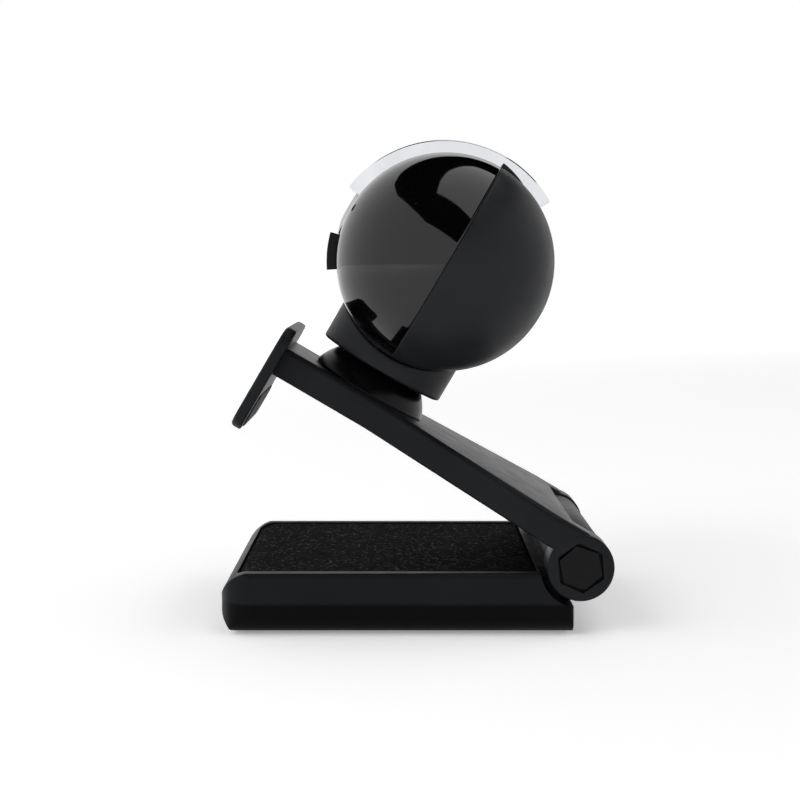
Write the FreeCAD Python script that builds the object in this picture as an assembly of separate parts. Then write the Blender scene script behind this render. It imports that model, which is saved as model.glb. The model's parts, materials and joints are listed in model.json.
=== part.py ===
import FreeCAD, Part
import math
import os

# A webcam with a round-ended head on a folding clip stand, in millimetres.
# +Z is up, the stand rests on z = 0, the lens looks towards -X and the hinge is at the +X end.
# X = 0 and Y = 0 are the middle of the footprint.
# Three frames are used: the base is drawn in place, the arm is drawn flat with the hinge axis at its
# origin, and everything above the arm is drawn upright with the head's centre at its origin.

# Base
base_length = 50.1
base_width = 50.0
base_height = 8.9
base_setback = 0.9
base_corner = 5.0
base_rear_corner = 1.0
front_corner_run = 5.7
front_corner_drop = 3.6
front_undercut = 1.6
side_undercut = 2.2
side_curve_height = 4.6
top_edge_round = 0.8
rim_height = 0.4
sheet_thickness = 0.9
cover_thickness = 1.8
cover_edge = 3.4
cover_gap = 0.1
sheet_edge = 1.2
sheet_hole_gap = 0.8
base_wall = 2.4
deck_thickness = 1.4
cavity_rear_wall = 7.5
pad_depth = 1.6
pad_edge = 2.2
pad_gap = 0.15
pad_rear = 5.0

# Tripod insert, 1/4-20 thread
insert_radius = 4.2
insert_bore = 2.6
insert_length = 5.5
insert_recess = 0.7
insert_flange_radius = 5.4
insert_flange = 1.0
insert_boss_wall = 2.0

# Hinge
hinge_height = 9.7
disc_radius = 4.75
disc_thickness = 6.0
disc_relief = 5.7
knuckle_radius = 4.45
knuckle_gap = 0.3
hinge_washer = 0.4
hinge_washer_radius = 4.2
hinge_pin_radius = 1.5
hinge_bush_wall = 1.05
hinge_bush_length = 10.0
running_gap = 0.05
hex_recess_radius = 3.59
hex_recess_depth = 1.2
hex_cap_radius = 3.26
hex_cap_thickness = 1.0
hex_recess_turn = 5.0
hex_cap_turn = 12.0
pin_end_inset = 2.0

# Arm
rest_angle = 30.4
arm_thickness = 4.43
arm_width = 22.0
arm_edge_round = 1.0
taper_start = 36.0
taper_end = 6.0
notch_reach = 3.0
lip_gap = 0.5
lip_thickness = 1.67
lip_rise = 3.0
lip_drop = 9.3
lip_width = 30.0
lip_corner = 3.0
lip_pad_depth = 0.6
lip_pad_proud = 0.2
lip_pad_length = 5.4
lip_pad_width = 25.0
lip_pad_margin = 0.4

# Swivel
swivel_from_lip = 13.6
neck_height = 3.9
dome_sphere = 9.8
dome_sphere_drop = 2.97
swivel_gap = 0.15
ring_inner = 3.0
ring_outer = 5.8
ring_depth = 0.6
spindle_radius = 2.0
spindle_clearance = 0.3
nut_well_radius = 5.0
nut_corner_radius = 4.04
nut_height = 1.5
wave_washer = 0.6
wave_washer_radius = 4.2
well_cover = 0.4
dome_screw_offset = 7.2
dome_screw_grip = 2.0
cup_radius = 10.1
cup_floor_drop = 2.8
saddle_gap = 0.2
flange_radius = 6.0
flange_thickness = 0.8
flange_drop = 0.4
cup_screw_offset = 4.2

# Tilt joint
tilt_down = 15.0
tilt_up = 20.0
blade_thickness = 3.6
blade_width = 6.8
eye_radius = 3.4
axle_radius = 1.5
tilt_washer = 0.8
tilt_washer_radius = 3.2
rib_thickness = 2.2
rib_front = 2.8
rib_rear = 5.5
axle_head_radius = 2.6
axle_head_length = 1.8
axle_nut_radius = 3.1
slot_side_gap = 0.4
slot_end_margin = 1.5

# Head
head_radius = 16.0
head_straight = 21.0
shell_wall = 1.6
seam_lip = 1.2
seam_lip_wall = 0.8
seam_lip_gap = 0.05
seam_lip_reach = 0.7
shoulder_rise = 0.98
shoulder_fullness = 0.6
shoulder_end = 72.5
shoulder_half_width = 8.5
band_start = 59.8
band_end = 172.2
band_rise = 2.15
band_half_width = 6.0
band_rim = 0.8
band_floor = 0.88
band_face_sink = 0.23
band_seat_gap = 0.02
shell_screw_y = 9.0
shell_screw_z = 9.5
shell_screw_seat = 4.0

# Lens
bezel_radius = 4.4
bezel_rise = 1.0
bezel_curve = 11.0
bezel_depth = 1.8
bezel_rim = 0.75
window_radius = 2.3
window_ledge = 0.3
window_rise = 0.2
window_thickness = 0.6
barrel_radius = 3.4
barrel_sink = 0.8
barrel_length = 5.9
barrel_bore = 2.6
barrel_lip = 0.6
barrel_opening = 1.9
element_pitch = 1.7
element_thickness = 1.2
element_curve = 6.0
filter_half = 2.8
filter_thickness = 0.4
holder_half = 4.5
holder_depth = 3.7
holder_tube = 3.0
holder_room = 2.4
holder_wall = 0.8
sensor_board_front = 5.8
board_screw_radius = 0.7
board_screw_head = 1.3
board_screw_head_height = 0.7
board_screw_length = 4.0
board_hole = 0.8
board_thickness = 1.0
sensor_board_width = 22.0
sensor_board_height = 12.0
sensor_size = 6.0
sensor_thickness = 1.0

# Shutter
shutter_start = 195.6
shutter_end = 214.1
shutter_stroke = 22.9
shutter_clearance = 1.15
shutter_thickness = 0.5
shutter_foot_gap = 0.1
leg_half_angle = 2.0
leg_inner = 5.3
leg_outer = 5.9
leg_foot_reach = 6.7
leg_foot_gap = 0.3
leg_foot_thickness = 0.6
track_gap = 0.2
track_end = 0.5

# Electronics and small pieces in the head
main_board_front = 7.0
main_board_thickness = 1.2
main_board_width = 28.0
main_board_height = 13.0
board_post_radius = 1.8
board_screw_y = 11.0
sensor_post_y = 8.8
sensor_post_z = -4.0
led_y = 8.5
light_pipe_radius = 0.9
microphone_y = 14.5
microphone_radius = 2.0
microphone_length = 1.5
microphone_sink = 2.2
boot_wall = 0.8
sound_hole = 0.6
gland_radius = 3.0
gland_bore = 1.7
gland_flange = 0.9
flex_width = 8.0
flex_height = 5.0
flex_thickness = 0.15
processor_half = 4.5
processor_thickness = 1.0
small_part_width = 1.2
small_part_height = 1.6
small_part_thickness = 0.6
small_part_pitch = 3.0
small_part_y = 7.0
header_depth = 2.6
header_width = 1.1
header_height = 9.0
header_edge = 0.5
light_size = 1.6
light_thickness = 0.8
light_pipe_gap = 0.9
gland_flange_thickness = 1.0

# Small screws
screw_radius = 1.0
screw_head_radius = 1.9
screw_head_height = 0.55
screw_boss_wall = 1.4
screw_tip_gap = 0.1
screw_grip = 0.4
socket_radius = 0.8
socket_depth = 0.3
stud_radius = 0.8
shell_screw_head = 1.3
shell_screw_grip = 5.5
shell_screw_tip_room = 0.5
shell_post_wall = 1.1
shell_boss_wall = 0.7
shell_socket_radius = 1.0
shell_socket_depth = 0.7
axle_socket_radius = 1.3
axle_socket_depth = 1.0
axle_nut_height = 2.0

# Places that follow from the sizes above
HINGE_X = (base_length + base_setback - disc_radius) / 2
BASE_REAR = HINGE_X - base_setback
BASE_FRONT = BASE_REAR - base_length
BASE_MIDDLE = (BASE_REAR + BASE_FRONT) / 2
HALF_WIDTH = base_width / 2
DISC_INNER = HALF_WIDTH - disc_thickness
KNUCKLE_HALF = DISC_INNER - hinge_washer
COVER_TOP = rim_height + cover_thickness
DECK_TOP = base_height - pad_depth
DECK_UNDER = DECK_TOP - deck_thickness
ARM_TOP = disc_radius
ARM_UNDER = disc_radius - arm_thickness
NUT_WELL_TOP = ARM_UNDER + well_cover + cover_gap + nut_height + wave_washer
LIP_X = -(base_length + base_setback + lip_gap)
SWIVEL_X = LIP_X + swivel_from_lip
CUP_FLOOR = -head_radius - cup_floor_drop
ARM_TOP_FROM_HEAD = CUP_FLOOR - neck_height
HEAD_Z = ARM_TOP - ARM_TOP_FROM_HEAD
SADDLE_RADIUS = head_radius + saddle_gap
FLANGE_TOP = -head_radius - flange_drop
DOME_HEIGHT = neck_height - swivel_gap
WELL_TOP_FROM_HEAD = NUT_WELL_TOP - HEAD_Z
SHELL_INNER = head_radius - shell_wall
WALL_MIDDLE = head_radius - shell_wall / 2
BAND_OUTER = head_radius + band_rise
BEZEL_CROWN = head_radius + bezel_rise
BEZEL_BACK = head_radius - bezel_depth
WINDOW_FRONT = head_radius + window_rise
BARREL_FRONT = head_radius - barrel_sink
BARREL_BACK = BARREL_FRONT - barrel_length
HOLDER_FRONT = sensor_board_front + holder_depth
MICROPHONE_FRONT = SHELL_INNER - microphone_sink
SHUTTER_INNER = head_radius + shutter_clearance
SHUTTER_OUTER = SHUTTER_INNER + shutter_thickness

ORIGIN = FreeCAD.Vector(0, 0, 0)
ALONG_X = FreeCAD.Vector(1, 0, 0)
ALONG_Y = FreeCAD.Vector(0, 1, 0)
ALONG_Z = FreeCAD.Vector(0, 0, 1)
TOWARDS_NEAR = FreeCAD.Vector(0, -1, 0)
REACH = 60.0


def point(x, y, z):
    """A point in millimetres."""
    return FreeCAD.Vector(x, y, z)


def block(x0, x1, y0, y1, z0, z1):
    """A plain block between two values on each axis."""
    return Part.makeBox(x1 - x0, y1 - y0, z1 - z0, point(x0, y0, z0))


def rod_y(radius, y0, y1, x=0.0, z=0.0):
    """A round rod along Y."""
    return Part.makeCylinder(radius, y1 - y0, point(x, y0, z), ALONG_Y)


def rod_x(radius, x0, x1, y=0.0, z=0.0):
    """A round rod along X."""
    return Part.makeCylinder(radius, x1 - x0, point(x0, y, z), ALONG_X)


def rod_z(radius, z0, z1, x=0.0, y=0.0):
    """A round rod along Z."""
    return Part.makeCylinder(radius, z1 - z0, point(x, y, z0), ALONG_Z)


def ring_z(inner, outer, z0, z1, x=0.0, y=0.0):
    """A flat ring about Z."""
    return rod_z(outer, z0, z1, x, y).cut(rod_z(inner, z0, z1, x, y))


def ring_y(inner, outer, y0, y1):
    """A flat ring about the Y axis."""
    return rod_y(outer, y0, y1).cut(rod_y(inner, y0, y1))


def hexagon(radius, height, centre, direction, turn=0.0):
    """A six-sided prism with this corner radius, standing on its centre along a direction."""
    corners = []
    for index in range(7):
        angle = math.radians(60 * index + turn)
        corners.append(point(radius * math.cos(angle), radius * math.sin(angle), 0))
    prism = Part.Face(Part.makePolygon(corners)).extrude(ALONG_Z * height)
    turned = FreeCAD.Rotation(ALONG_Z, direction)
    prism.Placement = FreeCAD.Placement(centre, turned)
    return prism


def rounded_plan(x0, x1, half_width, front_corner, rear_corner, z0, z1):
    """A slab whose plan is a rectangle with round front and rear corners."""
    body = block(x0, x1, -half_width, half_width, z0, z1)
    for end, corner in ((x1, rear_corner), (x0, front_corner)):
        chosen = []
        for edge in body.Edges:
            upright = abs(edge.BoundBox.ZLength - (z1 - z0)) < 1e-6
            if upright and abs(edge.BoundBox.XMin - end) < 1e-6 and edge.BoundBox.XLength < 1e-6:
                chosen.append(edge)
        body = body.makeFillet(corner, chosen)
    return body


def outline_solid(edges, extent):
    """A solid from a closed outline of edges, pushed along one vector."""
    return Part.Face(Part.Wire(edges)).extrude(extent)


def arc(start, middle, end):
    """An arc through three points."""
    return Part.Arc(start, middle, end).toShape()


def line(start, end):
    """A straight edge."""
    return Part.LineSegment(start, end).toShape()


def capsule(radius):
    """A rod along Y with half-ball ends, as long as the head's straight part and this radius."""
    half = head_straight / 2
    low = point(0, -half - radius, 0)
    high = point(0, half + radius, 0)
    lower_edge = point(radius, -half, 0)
    upper_edge = point(radius, half, 0)
    turn = radius * math.sqrt(0.5)
    profile = [
        arc(low, point(turn, -half - turn, 0), lower_edge),
        line(lower_edge, upper_edge),
        arc(upper_edge, point(turn, half + turn, 0), high),
        line(high, low),
    ]
    return Part.Face(Part.Wire(profile)).revolve(ORIGIN, ALONG_Y, 360)


def sector(inner, outer, start, end, y0, y1):
    """A piece of ring about the Y axis, from one angle to another, measured from +X towards +Z."""
    corners = [
        point(inner, y0, 0),
        point(outer, y0, 0),
        point(outer, y1, 0),
        point(inner, y1, 0),
        point(inner, y0, 0),
    ]
    face = Part.Face(Part.makePolygon(corners))
    face.rotate(ORIGIN, TOWARDS_NEAR, start)
    return face.revolve(ORIGIN, TOWARDS_NEAR, end - start)


def joined(shapes):
    """One solid from several that overlap."""
    whole = shapes[0].fuse(shapes[1:])
    return whole.removeSplitter()


def place_on_arm(shape):
    """Move a shape from the arm's own frame to where the arm rests."""
    moved = shape.copy()
    moved.rotate(ORIGIN, ALONG_Y, rest_angle)
    moved.translate(point(HINGE_X, 0, hinge_height))
    return moved


def place_on_head(shape):
    """Move a shape from the head's own frame to where the head rests."""
    moved = shape.copy()
    moved.translate(point(SWIVEL_X, 0, HEAD_Z))
    return place_on_arm(moved)


def write(name, shapes, place=None):
    """Write one node, as one solid or as a group of separate like solids."""
    if not isinstance(shapes, list):
        shapes = [shapes]
    solids = []
    for shape in shapes:
        solids.extend((place(shape) if place else shape).Solids)
    result = solids[0] if len(solids) == 1 else Part.makeCompound(solids)
    result.exportStep(os.path.join("parts", name + ".step"))
    print(name, len(solids), round(sum(solid.Volume for solid in solids), 1))


# The base

def base_body():
    """The outer form: a long side outline, a cross-section that curves under and a round plan."""
    front = BASE_FRONT
    bulge = base_height - front_corner_drop
    turn = math.sqrt(0.5)
    bottom_rear = point(BASE_REAR, 0, rim_height)
    bottom_front = point(front + front_undercut, 0, rim_height)
    bulge_front = point(front, 0, bulge)
    top_front = point(front + front_corner_run, 0, base_height)
    top_rear = point(BASE_REAR, 0, base_height)
    low_middle = point(front + front_undercut * (1 - turn), 0, bulge - (bulge - rim_height) * turn)
    high_middle = point(
        front + front_corner_run * (1 - turn), 0, bulge + front_corner_drop * turn
    )
    side = outline_solid(
        [
            line(bottom_rear, bottom_front),
            arc(bottom_front, low_middle, bulge_front),
            arc(bulge_front, high_middle, top_front),
            line(top_front, top_rear),
            line(top_rear, bottom_rear),
        ],
        ALONG_Y * base_width,
    )
    side.translate(point(0, -HALF_WIDTH, 0))
    across = base_cross_section(turn)
    plan = rounded_plan(
        BASE_FRONT, BASE_REAR, HALF_WIDTH, base_corner, base_rear_corner, 0, base_height + 1
    )
    return side.common(across).common(plan)


def base_cross_section(turn):
    """The base cut across: upright above, curving under towards the desk, with soft top edges."""
    half = HALF_WIDTH
    low = rim_height
    mid = side_curve_height
    top = base_height
    soft = top_edge_round
    low_bulge = mid - (mid - low) * turn
    edges = []
    for sign in (1, -1):
        foot = point(BASE_FRONT, sign * (half - side_undercut), low)
        waist = point(BASE_FRONT, sign * half, mid)
        shoulder = point(BASE_FRONT, sign * half, top - soft)
        rim = point(BASE_FRONT, sign * (half - soft), top)
        under = point(BASE_FRONT, sign * (half - side_undercut * (1 - turn)), low_bulge)
        over = point(BASE_FRONT, sign * (half - soft * (1 - turn)), top - soft * (1 - turn))
        edges.append(arc(foot, under, waist))
        edges.append(line(waist, shoulder))
        edges.append(arc(shoulder, over, rim))
    edges.append(line(point(BASE_FRONT, half - soft, top), point(BASE_FRONT, soft - half, top)))
    edges.append(
        line(
            point(BASE_FRONT, side_undercut - half, low),
            point(BASE_FRONT, half - side_undercut, low),
        )
    )
    return outline_solid(Part.__sortEdges__(edges), ALONG_X * base_length)


def base_inset(edge, rear, z0, z1):
    """A slab inside the base's plan, this far in from its front and sides."""
    corner = max(base_corner - edge, 1.0)
    return rounded_plan(
        BASE_FRONT + edge, BASE_REAR - rear, HALF_WIDTH - edge, corner, 1.0, z0, z1
    )


def cover_screw_places():
    """The four cover screws, near the corners of the cavity."""
    from_edge = cover_edge + 2 * screw_head_radius
    places = []
    for x in (BASE_FRONT + from_edge, BASE_REAR - cavity_rear_wall - from_edge):
        for y in (-HALF_WIDTH + from_edge, HALF_WIDTH - from_edge):
            places.append((x, y))
    return places


def base_tray():
    """The upper housing, with the pad's recess, the cavity, the hinge knuckle and the bosses."""
    tray = base_body()
    tray = tray.cut(base_inset(pad_edge, pad_rear, DECK_TOP, base_height + 1))
    tray = tray.cut(base_inset(cover_edge, cavity_rear_wall, 0, COVER_TOP))
    tray = tray.cut(base_inset(base_wall, cavity_rear_wall, COVER_TOP, DECK_UNDER))
    bosses = []
    for x, y in cover_screw_places():
        bosses.append(rod_z(screw_radius + screw_boss_wall, COVER_TOP, DECK_UNDER, x, y))
    bosses.append(
        rod_z(insert_radius + insert_boss_wall, COVER_TOP, DECK_UNDER, BASE_MIDDLE, 0)
    )
    bosses.append(rod_y(knuckle_radius, -KNUCKLE_HALF, KNUCKLE_HALF, HINGE_X, hinge_height))
    tray = tray.fuse(bosses)
    for sign in (1, -1):
        relief = rod_y(disc_relief, 0, base_width, HINGE_X, hinge_height)
        relief.translate(point(0, KNUCKLE_HALF if sign > 0 else -KNUCKLE_HALF - base_width, 0))
        bush = rod_y(
            hinge_pin_radius + running_gap + hinge_bush_wall,
            0,
            hinge_bush_length,
            HINGE_X,
            hinge_height,
        )
        bush.translate(point(0, KNUCKLE_HALF - hinge_bush_length if sign > 0 else -KNUCKLE_HALF, 0))
        tray = tray.cut(relief).cut(bush)
    pin_way = hinge_pin_radius + spindle_clearance
    tray = tray.cut(rod_y(pin_way, -KNUCKLE_HALF, KNUCKLE_HALF, HINGE_X, hinge_height))
    tray = tray.cut(rod_z(insert_radius, 0, insert_recess + insert_length, BASE_MIDDLE, 0))
    for x, y in cover_screw_places():
        tray = tray.cut(rod_z(screw_radius, 0, DECK_UNDER + screw_grip, x, y))
    return tray.removeSplitter()


def base_top_pad():
    """The soft pad in the top recess, its face following the base's top a little lower."""
    top = base_body()
    top.translate(point(0, 0, -pad_gap))
    edge = pad_edge + pad_gap
    return top.common(base_inset(edge, pad_rear + pad_gap, DECK_TOP, base_height + 1))


def base_bottom_cover():
    """The plate that closes the base from below and traps the tripod insert's flange."""
    edge = cover_edge + cover_gap
    rear = cavity_rear_wall + cover_gap
    cover = base_inset(edge, rear, rim_height, COVER_TOP)
    cover = cover.cut(base_inset(edge + sheet_edge, rear + sheet_edge, 0, sheet_thickness))
    cover = cover.cut(rod_z(insert_radius + cover_gap, 0, COVER_TOP, BASE_MIDDLE, 0))
    flange_room = insert_flange_radius + cover_gap
    cover = cover.cut(rod_z(flange_room, COVER_TOP - insert_flange, COVER_TOP, BASE_MIDDLE, 0))
    for x, y in cover_screw_places():
        seat = sheet_thickness + screw_head_height + cover_gap
        cover = cover.cut(rod_z(screw_head_radius + cover_gap, 0, seat, x, y))
        cover = cover.cut(rod_z(screw_radius + cover_gap, 0, COVER_TOP, x, y))
    return cover


def base_grip_sheet():
    """The rubber sheet under the base, with a hole for the tripod thread."""
    edge = cover_edge + sheet_edge + 2 * cover_gap
    rear = cavity_rear_wall + sheet_edge + 2 * cover_gap
    sheet = base_inset(edge, rear, 0, sheet_thickness)
    return sheet.cut(rod_z(insert_radius + sheet_hole_gap, 0, sheet_thickness, BASE_MIDDLE, 0))


def tripod_insert():
    """The brass bush for a 1/4-20 tripod screw, with a flange above the cover."""
    top = insert_recess + insert_length
    body = rod_z(insert_radius, insert_recess, top, BASE_MIDDLE, 0)
    flange = rod_z(
        insert_flange_radius, COVER_TOP - insert_flange + cover_gap, COVER_TOP, BASE_MIDDLE, 0
    )
    return body.fuse(flange).removeSplitter().cut(
        rod_z(insert_bore, 0, top, BASE_MIDDLE, 0)
    )


def base_cover_screws():
    """Four screws that hold the bottom cover."""
    screws = []
    seat = sheet_thickness + screw_head_height + cover_gap
    for x, y in cover_screw_places():
        head = rod_z(screw_head_radius, seat - screw_head_height, seat, x, y)
        shank = rod_z(screw_radius, seat, DECK_UNDER + screw_grip - screw_tip_gap, x, y)
        socket = hexagon(socket_radius, socket_depth, point(x, y, seat - screw_head_height), ALONG_Z)
        screws.append(head.fuse(shank).cut(socket))
    return screws


def hinge_bushes():
    """Two friction sleeves in the base's knuckle, drawn in place."""
    inner = hinge_pin_radius + running_gap
    bushes = []
    for start in (-KNUCKLE_HALF, KNUCKLE_HALF - hinge_bush_length):
        bush = ring_y(inner, inner + hinge_bush_wall, start, start + hinge_bush_length)
        bush.translate(point(HINGE_X, 0, hinge_height))
        bushes.append(bush)
    return bushes


# The arm, drawn flat with the hinge axis at the origin

def arm_plate():
    """The arm: a plate that widens to two hinge discs, with an upright lip at its far end."""
    half = arm_width / 2
    plate = block(LIP_X - lip_thickness / 2, -notch_reach, -half, half, ARM_UNDER, ARM_TOP)
    top_edges = []
    for edge in plate.Edges:
        middle = edge.CenterOfMass
        if abs(middle.z - ARM_TOP) < 1e-6 and abs(abs(middle.y) - half) < 1e-6:
            top_edges.append(edge)
    plate = plate.makeFillet(arm_edge_round, top_edges)
    taper = Part.Face(
        Part.makePolygon(
            [
                point(-taper_start, -half, ARM_UNDER),
                point(-taper_end, -HALF_WIDTH, ARM_UNDER),
                point(0, -HALF_WIDTH, ARM_UNDER),
                point(0, HALF_WIDTH, ARM_UNDER),
                point(-taper_end, HALF_WIDTH, ARM_UNDER),
                point(-taper_start, half, ARM_UNDER),
                point(-taper_start, -half, ARM_UNDER),
            ]
        )
    ).extrude(ALONG_Z * arm_thickness)
    pieces = [plate, taper, lip()]
    pieces.append(rod_y(disc_radius, DISC_INNER, HALF_WIDTH))
    pieces.append(rod_y(disc_radius, -HALF_WIDTH, -DISC_INNER))
    arm = joined(pieces)
    arm = arm.cut(rod_y(knuckle_radius + knuckle_gap, -DISC_INNER, DISC_INNER))
    arm = arm.cut(
        block(-notch_reach, disc_radius, -DISC_INNER, DISC_INNER, -disc_radius, 2 * disc_radius)
    )
    arm = arm.cut(rod_y(hinge_pin_radius, -HALF_WIDTH, HALF_WIDTH))
    for sign in (1, -1):
        floor = point(0, sign * (HALF_WIDTH - hex_recess_depth), 0)
        recess = hexagon(
            hex_recess_radius, hex_recess_depth, floor, ALONG_Y * sign, hex_recess_turn
        )
        arm = arm.cut(recess)
    return cut_swivel_seat(arm)


def lip():
    """The upright lip at the arm's far end, with round corners and a recess for its pad."""
    bottom = ARM_UNDER - lip_drop
    body = block(
        LIP_X - lip_thickness, LIP_X, -lip_width / 2, lip_width / 2, bottom, ARM_TOP + lip_rise
    )
    corners = []
    for edge in body.Edges:
        if abs(edge.BoundBox.XLength - lip_thickness) < 1e-6:
            corners.append(edge)
    body = body.makeFillet(lip_corner, corners)
    return body.cut(lip_pad_block(0.0))


def lip_pad_block(proud):
    """The room that the lip's pad fills, or the pad itself when it stands proud."""
    bottom = ARM_UNDER - lip_drop + lip_pad_margin
    half = lip_pad_width / 2
    pad = block(
        LIP_X - lip_pad_depth, LIP_X + proud, -half, half, bottom, bottom + lip_pad_length
    )
    corners = []
    for edge in pad.Edges:
        if edge.BoundBox.YLength < 1e-6 and edge.BoundBox.ZLength < 1e-6:
            corners.append(edge)
    return pad.makeFillet(lip_corner - lip_pad_margin, corners)


def cut_swivel_seat(arm):
    """Cut the swivel's bore, the nut's well and the dome screws' holes in the arm."""
    arm = arm.cut(rod_z(spindle_radius + running_gap, ARM_UNDER, ARM_TOP, SWIVEL_X, 0))
    arm = arm.cut(rod_z(nut_well_radius, ARM_UNDER, NUT_WELL_TOP, SWIVEL_X, 0))
    for sign in (1, -1):
        y = sign * dome_screw_offset
        seat = ARM_UNDER + screw_head_height + cover_gap
        arm = arm.cut(rod_z(screw_head_radius + cover_gap, ARM_UNDER, seat, SWIVEL_X, y))
        arm = arm.cut(rod_z(screw_radius, ARM_UNDER, ARM_TOP, SWIVEL_X, y))
    return arm


def hinge_pin():
    """The steel pin through both discs and the knuckle."""
    end = HALF_WIDTH - pin_end_inset
    return rod_y(hinge_pin_radius, -end, end)


def hinge_caps():
    """Two six-sided caps in the discs' outer faces, each with a spigot in the pin's bore."""
    caps = []
    for sign in (1, -1):
        floor = sign * (HALF_WIDTH - hex_recess_depth)
        cap = hexagon(
            hex_cap_radius, hex_cap_thickness, point(0, floor, 0), ALONG_Y * sign, hex_cap_turn
        )
        ends = sorted((floor, sign * (HALF_WIDTH - pin_end_inset)))
        caps.append(cap.fuse(rod_y(hinge_pin_radius, ends[0], ends[1])).removeSplitter())
    return caps


def hinge_washers():
    """Two washers between the knuckle and the discs."""
    washers = []
    for start in (-DISC_INNER, KNUCKLE_HALF):
        washers.append(ring_y(hinge_pin_radius, hinge_washer_radius, start, start + hinge_washer))
    return washers


def swivel_dome():
    """The low round neck on the arm, a slice of a ball, with a bore and a seat for the ring."""
    centre = point(SWIVEL_X, 0, ARM_TOP - dome_sphere_drop)
    ball = Part.makeSphere(dome_sphere, centre)
    top = ARM_TOP + DOME_HEIGHT
    slab = block(
        SWIVEL_X - dome_sphere, SWIVEL_X + dome_sphere, -dome_sphere, dome_sphere, ARM_TOP, top
    )
    dome = ball.common(slab)
    dome = dome.cut(rod_z(spindle_radius + spindle_clearance, ARM_TOP, top, SWIVEL_X, 0))
    dome = dome.cut(ring_z(ring_inner, ring_outer, top - ring_depth, top, SWIVEL_X, 0))
    for sign in (1, -1):
        dome = dome.cut(
            rod_z(
                screw_radius, ARM_TOP, ARM_TOP + dome_screw_grip, SWIVEL_X, sign * dome_screw_offset
            )
        )
    return dome


def swivel_friction_ring():
    """The plastic ring on the dome that the cup turns on."""
    top = ARM_TOP + DOME_HEIGHT
    return ring_z(ring_inner, ring_outer, top - ring_depth, top + swivel_gap, SWIVEL_X, 0)


def dome_screws():
    """Two screws from under the arm into the dome."""
    screws = []
    seat = ARM_UNDER + screw_head_height + cover_gap
    for sign in (1, -1):
        y = sign * dome_screw_offset
        head = rod_z(screw_head_radius, seat - screw_head_height, seat, SWIVEL_X, y)
        shank = rod_z(screw_radius, seat, ARM_TOP + dome_screw_grip - screw_tip_gap, SWIVEL_X, y)
        foot = point(SWIVEL_X, y, seat - screw_head_height)
        socket = hexagon(socket_radius, socket_depth, foot, ALONG_Z)
        screws.append(head.fuse(shank).cut(socket))
    return screws


def swivel_well_cover():
    """The round cover over the nut, flush with the arm's underside."""
    return rod_z(nut_well_radius - running_gap, ARM_UNDER, ARM_UNDER + well_cover, SWIVEL_X, 0)


# The swivel, drawn upright with the head's centre at the origin

def swivel_cup():
    """The round cup under the head, hollowed to the head's curve, with a seat for the flange."""
    cup = rod_z(cup_radius, CUP_FLOOR, -head_radius / 2)
    cup = cup.cut(rod_y(SADDLE_RADIUS, -cup_radius, cup_radius))
    seat = FLANGE_TOP - flange_thickness
    cup = cup.cut(rod_z(flange_radius + running_gap, seat, FLANGE_TOP + head_radius / 2))
    cup = cup.cut(rod_z(spindle_radius, CUP_FLOOR, seat))
    for sign in (1, -1):
        cup = cup.cut(rod_z(stud_radius, CUP_FLOOR, seat, 0, sign * cup_screw_offset))
    return cup


def tilt_post():
    """The post that turns with the cup: an eye round the axle, a blade, a flange and a spindle."""
    half_width = blade_width / 2
    half_blade = blade_thickness / 2
    eye = rod_y(eye_radius, -half_width, half_width)
    blade = block(-half_blade, half_blade, -half_width, half_width, FLANGE_TOP, 0)
    flange = rod_z(flange_radius, FLANGE_TOP - flange_thickness, FLANGE_TOP)
    bottom = WELL_TOP_FROM_HEAD - wave_washer - nut_height
    spindle = rod_z(spindle_radius, bottom, FLANGE_TOP)
    post = joined([eye, blade, flange, spindle])
    post = post.cut(rod_y(axle_radius + running_gap, -half_width, half_width))
    for sign in (1, -1):
        y = sign * cup_screw_offset
        low = FLANGE_TOP - flange_thickness
        post = post.cut(rod_z(stud_radius, low, FLANGE_TOP - screw_tip_gap, 0, y))
    return post


def cup_screws():
    """Two small studs that lock the flange to the cup's floor."""
    studs = []
    for sign in (1, -1):
        y = sign * cup_screw_offset
        studs.append(rod_z(stud_radius, CUP_FLOOR, FLANGE_TOP - screw_tip_gap, 0, y))
    return studs


def swivel_wave_washer():
    """The spring washer under the arm that keeps the swivel stiff."""
    top = WELL_TOP_FROM_HEAD
    return ring_z(spindle_radius, wave_washer_radius, top - wave_washer, top)


def swivel_nut():
    """The lock nut on the spindle's end."""
    top = WELL_TOP_FROM_HEAD - wave_washer
    nut = hexagon(nut_corner_radius, nut_height, point(0, 0, top - nut_height), ALONG_Z)
    return nut.cut(rod_z(spindle_radius, top - nut_height, top))


# The head, drawn upright with its centre at the origin

def half_shell(front):
    """One half of the hollow head, cut at the seam, with the post's slot in its underside."""
    shell = capsule(head_radius).cut(capsule(SHELL_INNER))
    if front:
        shell = shell.common(block(-REACH, 0, -REACH, REACH, -REACH, REACH))
    else:
        shell = shell.common(block(0, REACH, -REACH, REACH, -REACH, REACH))
    blade_angle = math.degrees(math.asin(blade_thickness / 2 / SHELL_INNER)) + slot_end_margin
    slot_half = blade_width / 2 + slot_side_gap
    slot = sector(
        SHELL_INNER - shell_wall,
        head_radius + shell_wall,
        270 - blade_angle - tilt_down,
        270 + blade_angle + tilt_up,
        -slot_half,
        slot_half,
    )
    return shell.cut(slot)


def shell_screw_places():
    """The four screws that close the head."""
    places = []
    for y in (-shell_screw_y, shell_screw_y):
        for z in (-shell_screw_z, shell_screw_z):
            places.append((y, z))
    return places


def inside_head(shape, radius):
    """Trim a shape to a capsule of this radius."""
    return shape.common(capsule(radius))


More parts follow.
